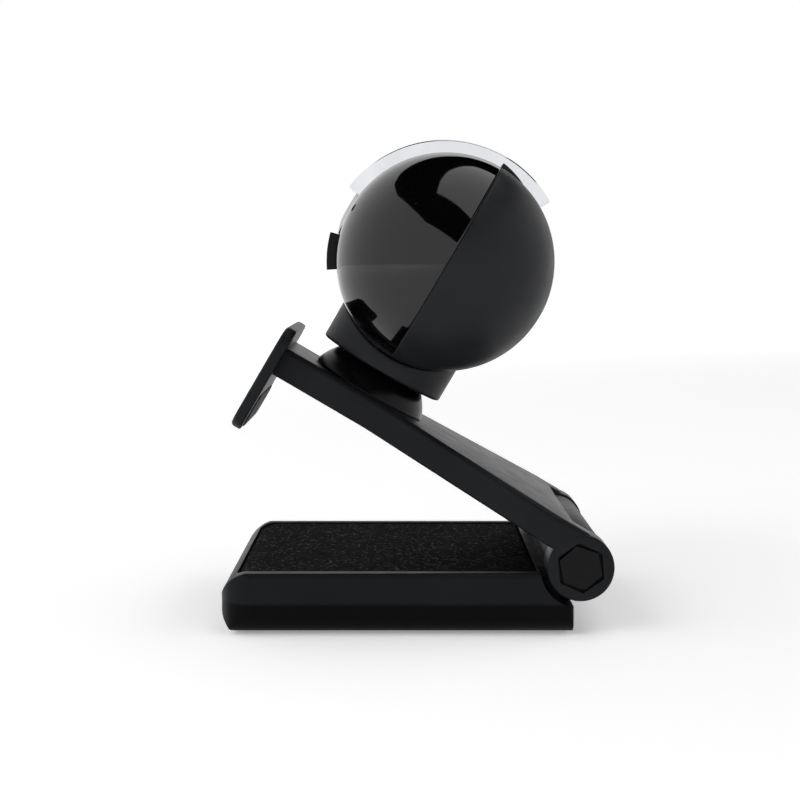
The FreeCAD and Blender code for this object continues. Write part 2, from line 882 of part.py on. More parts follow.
def front_shell():
    """The glossy front half, with the lens opening, the shutter's tracks and screw posts."""
    shell = half_shell(True)
    lip_ring = capsule(SHELL_INNER - seam_lip_gap)
    lip_ring = lip_ring.cut(capsule(SHELL_INNER - seam_lip_gap - seam_lip_wall))
    bridge = capsule(WALL_MIDDLE).cut(capsule(SHELL_INNER - seam_lip_gap - seam_lip_wall))
    lip_floor = -seam_lip_reach * head_radius
    lip_ring = lip_ring.common(block(0, seam_lip, -REACH, REACH, lip_floor, REACH))
    bridge = bridge.common(block(-seam_lip, 0, -REACH, REACH, lip_floor, REACH))
    pieces = [shell, bridge, lip_ring]
    for y, z in shell_screw_places():
        pieces.append(inside_head(rod_x(screw_radius + shell_post_wall, -head_radius, 0, y, z), WALL_MIDDLE))
    for sign in (1, -1):
        post = rod_x(
            board_post_radius, -head_radius, -sensor_board_front, sign * sensor_post_y, sensor_post_z
        )
        pieces.append(inside_head(post, WALL_MIDDLE))
    shell = joined(pieces)
    shell = shell.cut(rod_x(bezel_radius, -REACH, -HOLDER_FRONT))
    for y, z in shell_screw_places():
        shell = shell.cut(rod_x(screw_radius, -shell_screw_grip - shell_screw_tip_room, seam_lip, y, z))
    for sign in (1, -1):
        back = -sensor_board_front
        depth = board_screw_length
        shell = shell.cut(
            rod_x(board_screw_radius, back - depth, back, sign * sensor_post_y, sensor_post_z)
        )
        shell = shell.cut(rod_x(sound_hole, -REACH, -MICROPHONE_FRONT, sign * microphone_y, 0))
        inner = leg_inner - track_gap
        outer = leg_outer + track_gap
        middle = (shutter_start + shutter_end) / 2
        track = sector(
            SHELL_INNER - seam_lip,
            head_radius + shell_wall,
            middle - shutter_stroke - leg_half_angle - track_end,
            middle + leg_half_angle + track_end,
            min(sign * inner, sign * outer),
            max(sign * inner, sign * outer),
        )
        shell = shell.cut(track)
    shell = shell.cut(rod_x(light_pipe_radius, -REACH, -HOLDER_FRONT, led_y, 0))
    return shell


def shoulders():
    """The two low ramps behind the seam, one on each side of the band."""
    turn = math.radians(shoulder_end)
    half_turn = math.radians((90 + shoulder_end) / 2)
    high = head_radius + shoulder_rise
    half_rise = head_radius + shoulder_fullness * shoulder_rise
    low = head_radius - shell_wall / 2
    peak = point(0, 0, high)
    end = point(head_radius * math.cos(turn), 0, head_radius * math.sin(turn))
    crest = point(half_rise * math.cos(half_turn), 0, half_rise * math.sin(half_turn))
    inner_end = point(low * math.cos(turn), 0, low * math.sin(turn))
    inner_mid = point(low * math.cos(half_turn), 0, low * math.sin(half_turn))
    root = point(0, 0, low)
    outline = [
        arc(peak, crest, end),
        line(end, inner_end),
        arc(inner_end, inner_mid, root),
        line(root, peak),
    ]
    ramp = outline_solid(outline, ALONG_Y * (2 * shoulder_half_width))
    ramp.translate(point(0, -shoulder_half_width, 0))
    room = band_half_width + running_gap
    ramp = ramp.cut(sector(head_radius, BAND_OUTER, 0, 180, -room, room))
    return ramp


def axle_ribs():
    """Two walls on the rear half that carry the tilt axle."""
    inner = blade_width / 2 + tilt_washer
    outer = inner + rib_thickness
    ribs = []
    for y0, y1 in ((-outer, -inner), (inner, outer)):
        rear = block(0, rib_rear, y0, y1, -head_radius, 0)
        front = block(-rib_front, 0, y0, y1, -head_radius, 0)
        ribs.append(inside_head(rear, WALL_MIDDLE))
        ribs.append(inside_head(front, SHELL_INNER - knuckle_gap))
        ribs.append(rod_y(rib_front, y0, y1))
    return ribs


def rear_shell():
    """The matt rear half, with the axle ribs, the screw posts, the gland's hole and shoulders."""
    pieces = [half_shell(False), shoulders()]
    pieces.extend(axle_ribs())
    for y, z in shell_screw_places():
        boss = rod_x(screw_head_radius + shell_boss_wall, 0, head_radius, y, z)
        pieces.append(inside_head(boss, WALL_MIDDLE))
    board_back = main_board_front + main_board_thickness
    for sign in (1, -1):
        post = rod_x(board_post_radius, board_back, head_radius, sign * board_screw_y, 0)
        pieces.append(inside_head(post, WALL_MIDDLE))
    shell = joined(pieces)
    outer = blade_width / 2 + tilt_washer + rib_thickness
    shell = shell.cut(rod_y(axle_radius, -outer, outer))
    shell = shell.cut(rod_x(gland_radius, SHELL_INNER - shell_wall, REACH))
    for y, z in shell_screw_places():
        shell = shell.cut(rod_x(screw_radius + cover_gap, 0, REACH, y, z))
        shell = shell.cut(rod_x(screw_head_radius + cover_gap, shell_screw_seat, REACH, y, z))
    for sign in (1, -1):
        hole_end = main_board_front + board_screw_length
        shell = shell.cut(rod_x(board_screw_radius, board_back, hole_end, sign * board_screw_y, 0))
    return shell


def shell_screws():
    """Four screws from the rear half into the front half's posts."""
    screws = []
    seat = shell_screw_seat
    for y, z in shell_screw_places():
        top = seat + shell_screw_head
        head = rod_x(screw_head_radius, seat, top, y, z)
        shank = rod_x(screw_radius, -shell_screw_grip, seat, y, z)
        foot = point(top - shell_socket_depth, y, z)
        socket = hexagon(shell_socket_radius, shell_socket_depth, foot, ALONG_X)
        screws.append(head.fuse(shank).cut(socket))
    return screws


def lens_ring_room(radius):
    """The round room about the lens axis that the band's lower end leaves."""
    return rod_x(radius, -REACH, 0)


def band_frame():
    """The bright raised frame over the head, with a rim all round and a channel for its face."""
    floor_top = head_radius + band_floor
    frame = sector(
        head_radius + band_seat_gap,
        BAND_OUTER,
        band_start,
        band_end,
        -band_half_width,
        band_half_width,
    )
    frame = frame.cut(lens_ring_room(bezel_radius + track_gap))
    return frame.cut(band_channel(floor_top, BAND_OUTER + band_rim, 0.0))


def band_channel(inner, outer, gap):
    """The room inside the frame's rim, drawn in by a gap for the face that lies in it."""
    half = band_half_width - band_rim - gap
    end_angle = math.degrees((band_rim + gap) / BAND_OUTER)
    channel = sector(inner, outer, band_start + end_angle, band_end - end_angle, -half, half)
    return channel.cut(lens_ring_room(bezel_radius + track_gap + bezel_rim + gap))


def band_face():
    """The glossy black strip in the frame."""
    return band_channel(head_radius + band_floor, BAND_OUTER - band_face_sink, running_gap)


def lens_bezel():
    """The low domed ring round the lens, with a seat for the window."""
    centre = -(BEZEL_CROWN - bezel_curve)
    bezel = rod_x(bezel_radius, -REACH, -BEZEL_BACK)
    bezel = bezel.common(Part.makeSphere(bezel_curve, point(centre, 0, 0)))
    back = WINDOW_FRONT - window_thickness
    bezel = bezel.cut(rod_x(window_radius, -REACH, -back))
    bezel = bezel.cut(rod_x(window_radius - window_ledge, -REACH, 0))
    return bezel.cut(rod_x(barrel_radius + track_gap, -BARREL_FRONT - track_gap, 0))


def lens_window():
    """The clear window in front of the lens."""
    return rod_x(window_radius - running_gap, -WINDOW_FRONT, -WINDOW_FRONT + window_thickness)


def lens_barrel():
    """The threaded tube that holds the lens glass."""
    barrel = rod_x(barrel_radius, -BARREL_FRONT, -BARREL_BACK)
    barrel = barrel.cut(rod_x(barrel_bore, -BARREL_FRONT + barrel_lip, -BARREL_BACK))
    return barrel.cut(rod_x(barrel_opening, -BARREL_FRONT, -BARREL_BACK))


def lens_elements():
    """Three round pieces of glass in the barrel, each bulged on its front."""
    elements = []
    front = -BARREL_FRONT + barrel_lip + cover_gap
    for step in range(3):
        start = front + element_pitch * step
        disc = rod_x(barrel_bore - running_gap, start, start + element_thickness)
        ball = Part.makeSphere(element_curve, point(start + element_curve, 0, 0))
        elements.append(disc.common(ball))
    return elements


def lens_holder():
    """The square housing on the sensor board with a tube round the barrel."""
    half = holder_half
    body = block(-HOLDER_FRONT, -sensor_board_front, -half, half, -half, half)
    tube = rod_x(barrel_radius + holder_wall, -HOLDER_FRONT - holder_tube, -HOLDER_FRONT)
    holder = body.fuse(tube).removeSplitter()
    room = half - holder_wall
    back = -sensor_board_front
    holder = holder.cut(block(back - holder_room, back, -room, room, -room, room))
    holder = holder.cut(rod_x(barrel_radius, -HOLDER_FRONT - holder_tube, -BARREL_BACK))
    return holder.cut(rod_x(barrel_bore, -HOLDER_FRONT - holder_tube, back))


def infrared_filter():
    """The thin filter plate behind the lens."""
    front = -sensor_board_front - holder_room
    half = filter_half
    return block(front, front + filter_thickness, -half, half, -half, half)


def image_sensor():
    """The sensor chip on its board."""
    half = sensor_size / 2
    return block(
        -sensor_board_front - sensor_thickness, -sensor_board_front, -half, half, -half, half
    )


def sensor_board():
    """The small board behind the lens."""
    half = sensor_board_width / 2
    tall = sensor_board_height / 2
    front = -sensor_board_front
    board = block(front, front + board_thickness, -half, half, -tall, tall)
    for sign in (1, -1):
        board = board.cut(
            rod_x(board_hole, front, front + board_thickness, sign * sensor_post_y, sensor_post_z)
        )
    return board


def sensor_board_screws():
    """Two small screws through the sensor board."""
    screws = []
    back = -sensor_board_front + board_thickness
    for sign in (1, -1):
        y = sign * sensor_post_y
        head = rod_x(board_screw_head, back, back + board_screw_head_height, y, sensor_post_z)
        shank = rod_x(board_screw_radius, back - board_screw_length, back, y, sensor_post_z)
        screws.append(head.fuse(shank))
    return screws


def main_board():
    """The main board in the rear half."""
    half = main_board_width / 2
    tall = main_board_height / 2
    front = main_board_front
    board = block(front, front + main_board_thickness, -half, half, -tall, tall)
    for sign in (1, -1):
        board = board.cut(
            rod_x(board_hole, front, front + main_board_thickness, sign * board_screw_y, 0)
        )
    return board


def main_board_screws():
    """Two small screws through the main board."""
    screws = []
    for sign in (1, -1):
        y = sign * board_screw_y
        front = main_board_front
        head = rod_x(board_screw_head, front - board_screw_head_height, front, y, 0)
        shank = rod_x(board_screw_radius, front, front + board_screw_length, y, 0)
        screws.append(head.fuse(shank))
    return screws


def image_processor():
    """The main chip on the board's rear face."""
    back = main_board_front + main_board_thickness
    half = processor_half
    return block(back, back + processor_thickness, -half, half, -half, half)


def board_components():
    """The small parts round the main chip, as separate blocks."""
    back = main_board_front + main_board_thickness
    parts = []
    wide = small_part_width / 2
    tall = small_part_height / 2
    for y in (-small_part_y, small_part_y):
        for step in (-1.5, -0.5, 0.5, 1.5):
            z = small_part_pitch * step
            parts.append(
                block(back, back + small_part_thickness, y - wide, y + wide, z - tall, z + tall)
            )
    return parts


def cable_connector():
    """The five-way header where the cable's wires plug in."""
    front = main_board_front
    edge = header_edge - main_board_width / 2
    tall = header_height / 2
    return block(front - header_depth, front, edge, edge + header_width, -tall, tall)


def flex_cable():
    """The flat cable from the sensor board to the main board, over the axle."""
    start = -sensor_board_front + board_thickness
    half = flex_width / 2
    return block(start, main_board_front, -half, half, flex_height, flex_height + flex_thickness)


def status_light():
    """The light-emitting chip on the sensor board."""
    front = -sensor_board_front
    half = light_size / 2
    return block(front - light_thickness, front, led_y - half, led_y + half, -half, half)


def light_pipe():
    """The clear rod that brings the light to the front face."""
    pipe = rod_x(light_pipe_radius, -head_radius, -sensor_board_front - light_pipe_gap, led_y, 0)
    return inside_head(pipe, head_radius)


def microphones():
    """Two round microphone cans, one near each end of the head."""
    cans = []
    for sign in (1, -1):
        back = -MICROPHONE_FRONT + microphone_length
        cans.append(rod_x(microphone_radius, -MICROPHONE_FRONT, back, sign * microphone_y, 0))
    return cans


def microphone_boots():
    """Rubber boots that seal the microphones against the front half."""
    boots = []
    for sign in (1, -1):
        y = sign * microphone_y
        back = -MICROPHONE_FRONT + microphone_length
        boot = rod_x(microphone_radius + boot_wall, -head_radius, back, y, 0)
        boot = inside_head(boot, SHELL_INNER)
        boot = boot.cut(rod_x(microphone_radius, -MICROPHONE_FRONT, back, y, 0))
        boots.append(boot.cut(rod_x(sound_hole, -REACH, -MICROPHONE_FRONT, y, 0)))
    return boots


def cable_gland():
    """The rubber gland in the rear half that the cable would pass through."""
    neck = rod_x(gland_radius, SHELL_INNER - gland_flange_thickness - 0.5, REACH)
    neck = inside_head(neck, head_radius)
    wide = gland_radius + gland_flange
    seat = math.sqrt(SHELL_INNER ** 2 - wide ** 2)
    flange = rod_x(wide, seat - gland_flange_thickness, seat)
    gland = neck.fuse(flange).removeSplitter()
    return gland.cut(rod_x(gland_bore, 0, REACH))


def tilt_axle():
    """The shoulder screw that the head tilts on."""
    outer = blade_width / 2 + tilt_washer + rib_thickness
    shank = rod_y(axle_radius, -outer, outer + axle_nut_height)
    head = rod_y(axle_head_radius, -outer - axle_head_length, -outer)
    axle = head.fuse(shank).removeSplitter()
    foot = point(0, -outer - axle_head_length, 0)
    return axle.cut(hexagon(axle_socket_radius, axle_socket_depth, foot, ALONG_Y))


def tilt_nut():
    """The nut on the axle's far end."""
    outer = blade_width / 2 + tilt_washer + rib_thickness
    nut = hexagon(axle_nut_radius, axle_nut_height, point(0, outer, 0), ALONG_Y)
    return nut.cut(rod_y(axle_radius, outer, outer + axle_nut_height))


def tilt_washers():
    """Two friction washers between the post's eye and the ribs."""
    inner = blade_width / 2
    washers = []
    for start in (-inner - tilt_washer, inner):
        washers.append(ring_y(axle_radius, tilt_washer_radius, start, start + tilt_washer))
    return washers


def privacy_shutter():
    """The curved slider that covers the lens: a roof, two side walls and two hooked legs."""
    half = band_half_width
    roof = sector(SHUTTER_INNER, SHUTTER_OUTER, shutter_start, shutter_end, -half, half)
    pieces = [roof]
    middle = (shutter_start + shutter_end) / 2
    for sign in (1, -1):
        wall = sorted((sign * (half - band_rim), sign * half))
        low = head_radius + shutter_foot_gap
        high = SHUTTER_INNER + shutter_thickness / 2
        pieces.append(
            sector(low, high, shutter_start, shutter_end, wall[0], wall[1])
        )
        leg = sorted((sign * leg_inner, sign * leg_outer))
        foot = sorted((sign * leg_inner, sign * leg_foot_reach))
        start = middle - leg_half_angle
        end = middle + leg_half_angle
        sole = SHELL_INNER - leg_foot_gap
        tip = sole - leg_foot_thickness
        pieces.append(sector(tip, SHUTTER_INNER, start, end, leg[0], leg[1]))
        pieces.append(sector(tip, sole, start, end, foot[0], foot[1]))
    return joined(pieces)


BASE_NODES = [
    base_tray,
    base_top_pad,
    base_bottom_cover,
    base_grip_sheet,
    tripod_insert,
    base_cover_screws,
    hinge_bushes,
]
ARM_NODES = [
    arm_plate,
    hinge_pin,
    hinge_caps,
    hinge_washers,
    swivel_dome,
    swivel_friction_ring,
    dome_screws,
    swivel_well_cover,
]
HEAD_NODES = [
    swivel_cup,
    tilt_post,
    cup_screws,
    swivel_wave_washer,
    swivel_nut,
    front_shell,
    rear_shell,
    shell_screws,
    band_frame,
    band_face,
    lens_bezel,
    lens_window,
    lens_barrel,
    lens_elements,
    lens_holder,
    infrared_filter,
    image_sensor,
    sensor_board,
    sensor_board_screws,
    main_board,
    main_board_screws,
    image_processor,
    board_components,
    cable_connector,
    flex_cable,
    status_light,
    light_pipe,
    microphones,
    microphone_boots,
    cable_gland,
    tilt_axle,
    tilt_nut,
    tilt_washers,
    privacy_shutter,
]


def main():
    """Make every node and write it."""
    os.makedirs("parts", exist_ok=True)
    for make in BASE_NODES:
        write(make.__name__, make())
    for make in ARM_NODES:
        write(make.__name__, make(), place_on_arm)
    write("lip_pad", lip_pad_block(lip_pad_proud), place_on_arm)
    for make in HEAD_NODES:
        write(make.__name__, make(), place_on_head)


main()
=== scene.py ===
import json
import math

import bmesh
import bpy
import numpy as np
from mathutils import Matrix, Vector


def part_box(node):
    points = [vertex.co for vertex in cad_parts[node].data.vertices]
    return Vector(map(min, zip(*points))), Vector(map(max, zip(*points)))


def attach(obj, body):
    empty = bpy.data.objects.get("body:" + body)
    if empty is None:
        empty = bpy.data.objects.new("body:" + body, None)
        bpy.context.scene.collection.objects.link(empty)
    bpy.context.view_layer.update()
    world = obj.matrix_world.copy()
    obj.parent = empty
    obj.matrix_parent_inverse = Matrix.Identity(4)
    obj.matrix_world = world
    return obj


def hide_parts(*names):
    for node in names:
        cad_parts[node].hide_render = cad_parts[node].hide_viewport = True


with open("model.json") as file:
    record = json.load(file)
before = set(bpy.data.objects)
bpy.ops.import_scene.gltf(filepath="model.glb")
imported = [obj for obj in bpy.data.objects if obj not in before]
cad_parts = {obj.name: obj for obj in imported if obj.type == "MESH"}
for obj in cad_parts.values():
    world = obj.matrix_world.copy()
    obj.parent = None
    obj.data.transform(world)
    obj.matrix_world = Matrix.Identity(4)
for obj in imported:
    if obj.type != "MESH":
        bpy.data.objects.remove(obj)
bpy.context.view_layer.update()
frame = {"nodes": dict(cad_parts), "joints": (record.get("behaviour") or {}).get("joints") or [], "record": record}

bl_info = {
    "name": "Webcam on a folding clip stand",
    "version": (1, 0, 0),
    "blender": (4, 5, 0),
    "location": "3D View > Sidebar > Webcam",
    "description": "Finished surfaces and materials of a round-ended webcam on its clip stand",
    "category": "Object",
}

# The frame: joints, boxes and the places that follow from them. Lengths are in millimetres.
MM = 1000.0
JOINTS = {joint["name"]: joint for joint in frame["joints"]}
HINGE = np.array(JOINTS["arm_fold"]["pos_m"]) * MM
HEAD = np.array(JOINTS["head_tilt"]["pos_m"]) * MM
REST_ANGLE = -math.radians(JOINTS["arm_fold"]["range_deg"][0])
COS_REST = math.cos(REST_ANGLE)
SIN_REST = math.sin(REST_ANGLE)
SWIVEL_X = (HEAD - HINGE)[0] * COS_REST - (HEAD - HINGE)[2] * SIN_REST
HEAD_HEIGHT = (HEAD - HINGE)[0] * SIN_REST + (HEAD - HINGE)[2] * COS_REST
TRAY_LOW, TRAY_HIGH = (np.array(corner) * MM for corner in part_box("base_tray"))
BASE_FRONT = TRAY_LOW[0]
HALF_WIDTH = TRAY_HIGH[1]
SETBACK = 0.9
BASE_REAR = HINGE[0] - SETBACK
INSERT_X = sum(corner[0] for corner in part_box("tripod_insert")) / 2 * MM
STEPS = 96

# Cutters reach this far into the head and out of it; the tilt slot crosses the seam, so each half's
# cutter laps over it.
CUT_DEPTH = 3.0
CUT_PROUD = 1.0
SEAM_ANGLE = 270.0
SLOT_LAP = 6.0


def size(name, default, description):
    """A length property in millimetres."""
    return bpy.props.FloatProperty(name=name, description=description, default=default, min=0.0)


def colour(name, default, description):
    """A colour property, as an sRGB hex value."""
    return bpy.props.StringProperty(name=name, description=description, default=default)


class WebcamBaseSizes(bpy.types.PropertyGroup):
    """Sizes of the base and the hinge, in millimetres."""

    height: size("Height", 8.9, "Height of the base's top above the desk")
    corner: size("Corner", 5.0, "Plan radius of the front corners")
    rear_corner: size("Rear corner", 1.0, "Plan radius of the rear corners")
    front_run: size("Front run", 5.7, "Length of the rounded front edge")
    front_drop: size("Front drop", 3.6, "Height of the rounded front edge")
    pad_edge: size("Pad edge", 2.2, "Width of the rim round the pad")
    pad_rear: size("Pad rear", 5.0, "Width of the rim behind the pad")
    pad_depth: size("Pad depth", 1.6, "Depth of the pad's recess")
    pad_gap: size("Pad gap", 0.15, "Gap round the pad")
    cover_edge: size("Cover edge", 3.4, "Width of the rim round the bottom cover")
    cover_rear: size("Cover rear", 7.5, "Width of the rim behind the bottom cover")
    sheet: size("Sheet", 0.9, "Thickness of the rubber sheet")
    sheet_edge: size("Sheet edge", 1.4, "Width of the bottom cover's rim round the sheet")
    sheet_hole: size("Sheet hole", 5.0, "Radius of the sheet's hole for the tripod insert")
    disc: size("Disc", 4.75, "Radius of the hinge discs")
    disc_width: size("Disc width", 6.0, "Width of each hinge disc")
    hex_recess: size("Hexagon recess", 3.59, "Corner radius of the recess in each disc")
    hex_depth: size("Hexagon depth", 1.2, "Depth of the recess in each disc")
    hex_cap: size("Hexagon cap", 3.26, "Corner radius of the cap in each disc")
    hex_thickness: size("Cap thickness", 1.0, "Thickness of each cap")


class WebcamArmSizes(bpy.types.PropertyGroup):
    """Sizes of the arm, the lip and the swivel, in millimetres."""

    thickness: size("Thickness", 4.43, "Thickness of the arm's plate")
    width: size("Width", 22.0, "Width of the arm under the swivel")
    taper_start: size("Taper start", 36.0, "Distance from the hinge where the arm begins to widen")
    taper_end: size("Taper end", 6.0, "Distance from the hinge where the arm is full width")
    edge: size("Edge", 0.9, "Rounding of the arm's top edges")
    lip_from_swivel: size("Lip", 13.6, "Distance from the swivel's axis to the lip")
    lip_thickness: size("Lip thickness", 1.67, "Thickness of the lip")
    lip_rise: size("Lip rise", 3.0, "Height of the lip above the arm")
    lip_drop: size("Lip drop", 9.3, "Depth of the lip below the arm")
    lip_width: size("Lip width", 30.0, "Width of the lip")
    lip_corner: size("Lip corner", 3.0, "Corner radius of the lip")
    dome_ball: size("Dome ball", 9.8, "Radius of the ball that the dome is a slice of")
    dome_drop: size("Dome drop", 2.97, "Depth of that ball's centre below the arm's top")
    dome_height: size("Dome height", 3.75, "Height of the dome above the arm")
    neck: size("Neck", 3.9, "Height from the arm to the cup")
    cup: size("Cup", 10.1, "Radius of the cup")
    saddle_gap: size("Saddle gap", 0.2, "Gap between the head and the cup's hollow")
    flange: size("Flange", 6.05, "Radius of the seat in the cup")
    flange_drop: size("Flange drop", 0.4, "Gap between the head and the flange on that seat")
    flange_seat: size("Flange seat", 1.2, "Depth of that seat below the flange's top")
    well_cover: size("Well cover", 5.0, "Radius of the room for the cover under the arm")
    well_depth: size("Well depth", 0.45, "Depth of that room")
    cap_room: size("Cap room", 3.75, "Radius of the room in the plate for the hexagonal caps")
    pad_margin: size("Lip pad margin", 0.4, "Margin under the lip's pad")
    pad_length: size("Lip pad length", 5.4, "Height of the lip's pad")
    pad_half: size("Lip pad half width", 12.5, "Half the width of the lip's pad")
    spindle: size("Spindle", 2.0, "Radius of the swivel's spindle")


class WebcamHeadSizes(bpy.types.PropertyGroup):
    """Sizes of the head, in millimetres."""

    radius: size("Radius", 16.0, "Radius of the head's round section")
    straight: size("Straight", 21.0, "Length of the straight part between the round ends")
    wall: size("Wall", 1.6, "Wall thickness of the shells")
    seam: size("Seam", 0.04, "Half the gap at the seam")
    gland: size("Gland", 3.0, "Radius of the cable gland")
    mic_spread: size("Microphones", 14.5, "Distance from the middle to each microphone hole")
    mic_hole: size("Microphone hole", 0.6, "Radius of the microphone holes")
    pipe_offset: size("Light pipe", 8.5, "Distance from the middle to the light pipe")
    pipe_hole: size("Light pipe hole", 0.9, "Radius of the light pipe's hole")
    track_offset: size("Tracks", 5.6, "Distance from the middle to each shutter track")
    track_half: size("Track half width", 0.5, "Half the width of a track")
    track_start: size("Track start", 179.4, "Angle of the tracks' upper ends")
    track_stop: size("Track stop", 207.4, "Angle of the tracks' lower ends")
    leg_half: size("Leg half width", 0.3, "Half the thickness of the shutter's legs")
    leg_reach: size("Leg reach", 13.5, "Distance from the head's middle line to the legs' feet")
    slot_half: size("Slot half width", 3.8, "Half the width of the slot for the tilt post")
    slot_start: size("Slot start", 246.0, "Angle where that slot starts")
    slot_stop: size("Slot stop", 299.0, "Angle where that slot stops")
    screw_across: size("Screws across", 9.0, "Distance of the rear screws from the middle, across")
    screw_up: size("Screws up", 9.5, "Distance of the rear screws from the middle, up and down")
    screw_hole: size("Screw hole", 2.0, "Radius of the rear screws' holes")
    screw_seat: size("Screw seat", 11.4, "Depth of those holes' floors, from the head's middle")
    bezel_depth: size("Bezel depth", 1.8, "Depth of the bezel's back below the head")
    window_ledge: size("Window ledge", 0.3, "Width of the ledge behind the window")
    window_rise: size("Window rise", 0.2, "Height of the window above the head")
    window_thickness: size("Window thickness", 0.6, "Thickness of the window")
    barrel_room: size("Barrel room", 3.6, "Radius of the bezel's room for the lens barrel")
    barrel_front: size("Barrel front", 15.4, "Front of that room, from the head's middle")
    bezel: size("Bezel", 4.4, "Radius of the lens bezel")
    bezel_gap: size("Bezel gap", 0.05, "Gap round the bezel")
    bezel_rise: size("Bezel rise", 1.0, "Height of the bezel's crown above the head")
    bezel_curve: size("Bezel curve", 11.0, "Radius of the bezel's domed face")
    window: size("Window", 2.3, "Radius of the lens window")
    band_start: size("Band start", 59.8, "Angle where the band begins, behind the top")
    band_end: size("Band end", 172.2, "Angle where the band ends, above the lens")
    band_half: size("Band half width", 6.0, "Half the width of the band")
    band_rise: size("Band rise", 2.15, "Height of the band above the head")
    band_rim: size("Band rim", 0.8, "Width of the band's rim")
    band_sink: size("Band sink", 0.23, "Depth of the black face below the rim")
    shoulder_rise: size("Shoulder rise", 0.98, "Height of the rear half's shoulders at the seam")
    shoulder_end: size("Shoulder end", 72.5, "Angle where the shoulders run out")
    shoulder_half: size("Shoulder half width", 8.5, "Half the width across the shoulders")
    shutter_start: size("Shutter start", 195.6, "Angle of the parked shutter's upper end")
    shutter_end: size("Shutter end", 214.1, "Angle of the parked shutter's lower end")
    shutter_inner: size("Shutter clearance", 1.15, "Height of the shutter's roof above the head")
    shutter_roof: size("Shutter roof", 0.5, "Thickness of the shutter's roof")


class WebcamColours(bpy.types.PropertyGroup):
    """Colours of the finishes, as sRGB hex values."""

    abs: colour("Soft black", "18191C", "Soft-touch ABS of the arm and the base")
    # The under black is painted shade on the base's lower half.
    under: colour("Under black", "040405", "Lower half of the base")
    matt: colour("Matt black", "1B1C1F", "Matt ABS of the rear half")
    gloss: colour("Gloss black", "040405", "Piano-black ABS of the front half")
    chrome: colour("Chrome", "E6E8EC", "Plated band")
    silver: colour("Silver", "B9BBC0", "Anodised lens bezel")
    foam: colour("Foam", "050506", "Foam pad on the base")
    rubber: colour("Rubber", "0E0E0F", "Rubber pads")
    brass: colour("Brass", "C79A4B", "Tripod insert")
    steel: colour("Steel", "9FA3A8", "Zinc-plated screws, washers and pins")
    acetal: colour("Acetal", "DEDCD2", "Sleeves and friction rings")
    board: colour("Board", "12402A", "Solder resist of the boards")
    backdrop: colour("Backdrop", "FAFAFA", "Floor and surroundings")


# Surfaces

def turned(points, origin):
    """From the tilted frame to the row frame: a turn by the rest angle about Y, then a move."""
    x, y, z = points[..., 0], points[..., 1], points[..., 2]
    return np.stack([x * COS_REST + z * SIN_REST, y, z * COS_REST - x * SIN_REST], -1) + origin


def on_arm(points):
    """The arm is drawn flat, with the hinge axis at its origin."""
    return turned(points, HINGE)


def on_head(points):
    """The head is drawn upright, with its own centre at the origin."""
    return turned(points, HEAD)


def corner_arcs(points, radii, steps):
    """Each corner becomes an arc that touches both its sides: the arc's centre lies on the corner's
    bisector at radius over sine of half the angle, and the arc is swept evenly between the touches."""
    corner = np.asarray(points, float)
    radius = np.asarray(radii, float)[:, None]
    back = np.roll(corner, 1, axis=0) - corner
    ahead = np.roll(corner, -1, axis=0) - corner
    back = back / np.linalg.norm(back, axis=1, keepdims=True)
    ahead = ahead / np.linalg.norm(ahead, axis=1, keepdims=True)
    half = np.arccos(np.clip((back * ahead).sum(1, keepdims=True), -0.9999, 0.9999)) / 2
    middle = (back + ahead) / np.linalg.norm(back + ahead, axis=1, keepdims=True)
    centre = corner + middle * radius / np.sin(half)
    start = corner + back * radius / np.tan(half) - centre
    end = corner + ahead * radius / np.tan(half) - centre
    sweep = math.pi - 2 * half
    part = np.linspace(0, 1, steps)[None, :, None]
    first = np.sin((1 - part) * sweep[:, None]) / np.sin(sweep)[:, None]
    last = np.sin(part * sweep[:, None]) / np.sin(sweep)[:, None]
    arcs = centre[:, None] + first * start[:, None] + last * end[:, None]
    return arcs.reshape(-1, 2)


def evenly(outline, count):
    """The same closed outline with a set number of points at even distances along it."""
    line = np.vstack([outline, outline[:1]])
    reach = np.concatenate([[0.0], np.cumsum(np.linalg.norm(np.diff(line, axis=0), axis=1))])
    wanted = np.linspace(0, reach[-1], count, endpoint=False)
    return np.stack([np.interp(wanted, reach, line[:, axis]) for axis in range(line.shape[1])], -1)


def inset(outline, distance):
    """Moves a closed outline inwards along its normals, which are its tangents turned by a quarter."""
    tangent = np.roll(outline, -1, axis=0) - np.roll(outline, 1, axis=0)
    tangent = tangent / np.maximum(np.linalg.norm(tangent, axis=1, keepdims=True), 1e-9)
    return outline + np.stack([-tangent[:, 1], tangent[:, 0]], -1) * distance


def rounded_box(low_x, high_x, low_y, high_y, radius, count=4 * STEPS, other=None):
    """A rectangle with round corners, run anticlockwise, with even points; the corners on the
    high-x side may have another radius."""
    other = radius if other is None else other
    corners = [(high_x, low_y), (high_x, high_y), (low_x, high_y), (low_x, low_y)]
    return evenly(corner_arcs(corners, [other, other, radius, radius], 16), count)


def quarter(radius, steps=6):
    """A quarter circle's points: how far each lies from the end's tangent and from the start's."""
    turn = np.linspace(0, math.pi / 2, steps)
    return radius * (1 - np.sin(turn)), radius * (1 - np.cos(turn))


def edge_profile(low, high, low_round, high_round):
    """Insets and levels up a wall whose lower and upper edges are quarter circles."""
    low_in, low_up = quarter(low_round)
    high_down, high_in = quarter(high_round)
    return np.concatenate([low_in, high_in]), np.concatenate([low + low_up, high - high_down])


def slab_rows(outline, insets, levels):
    """Rows of a slab: its outline drawn in by each inset and lifted to each level."""
    return np.stack([np.column_stack([inset(outline, d), np.full(len(outline), z)])
                     for d, z in zip(insets, levels)])


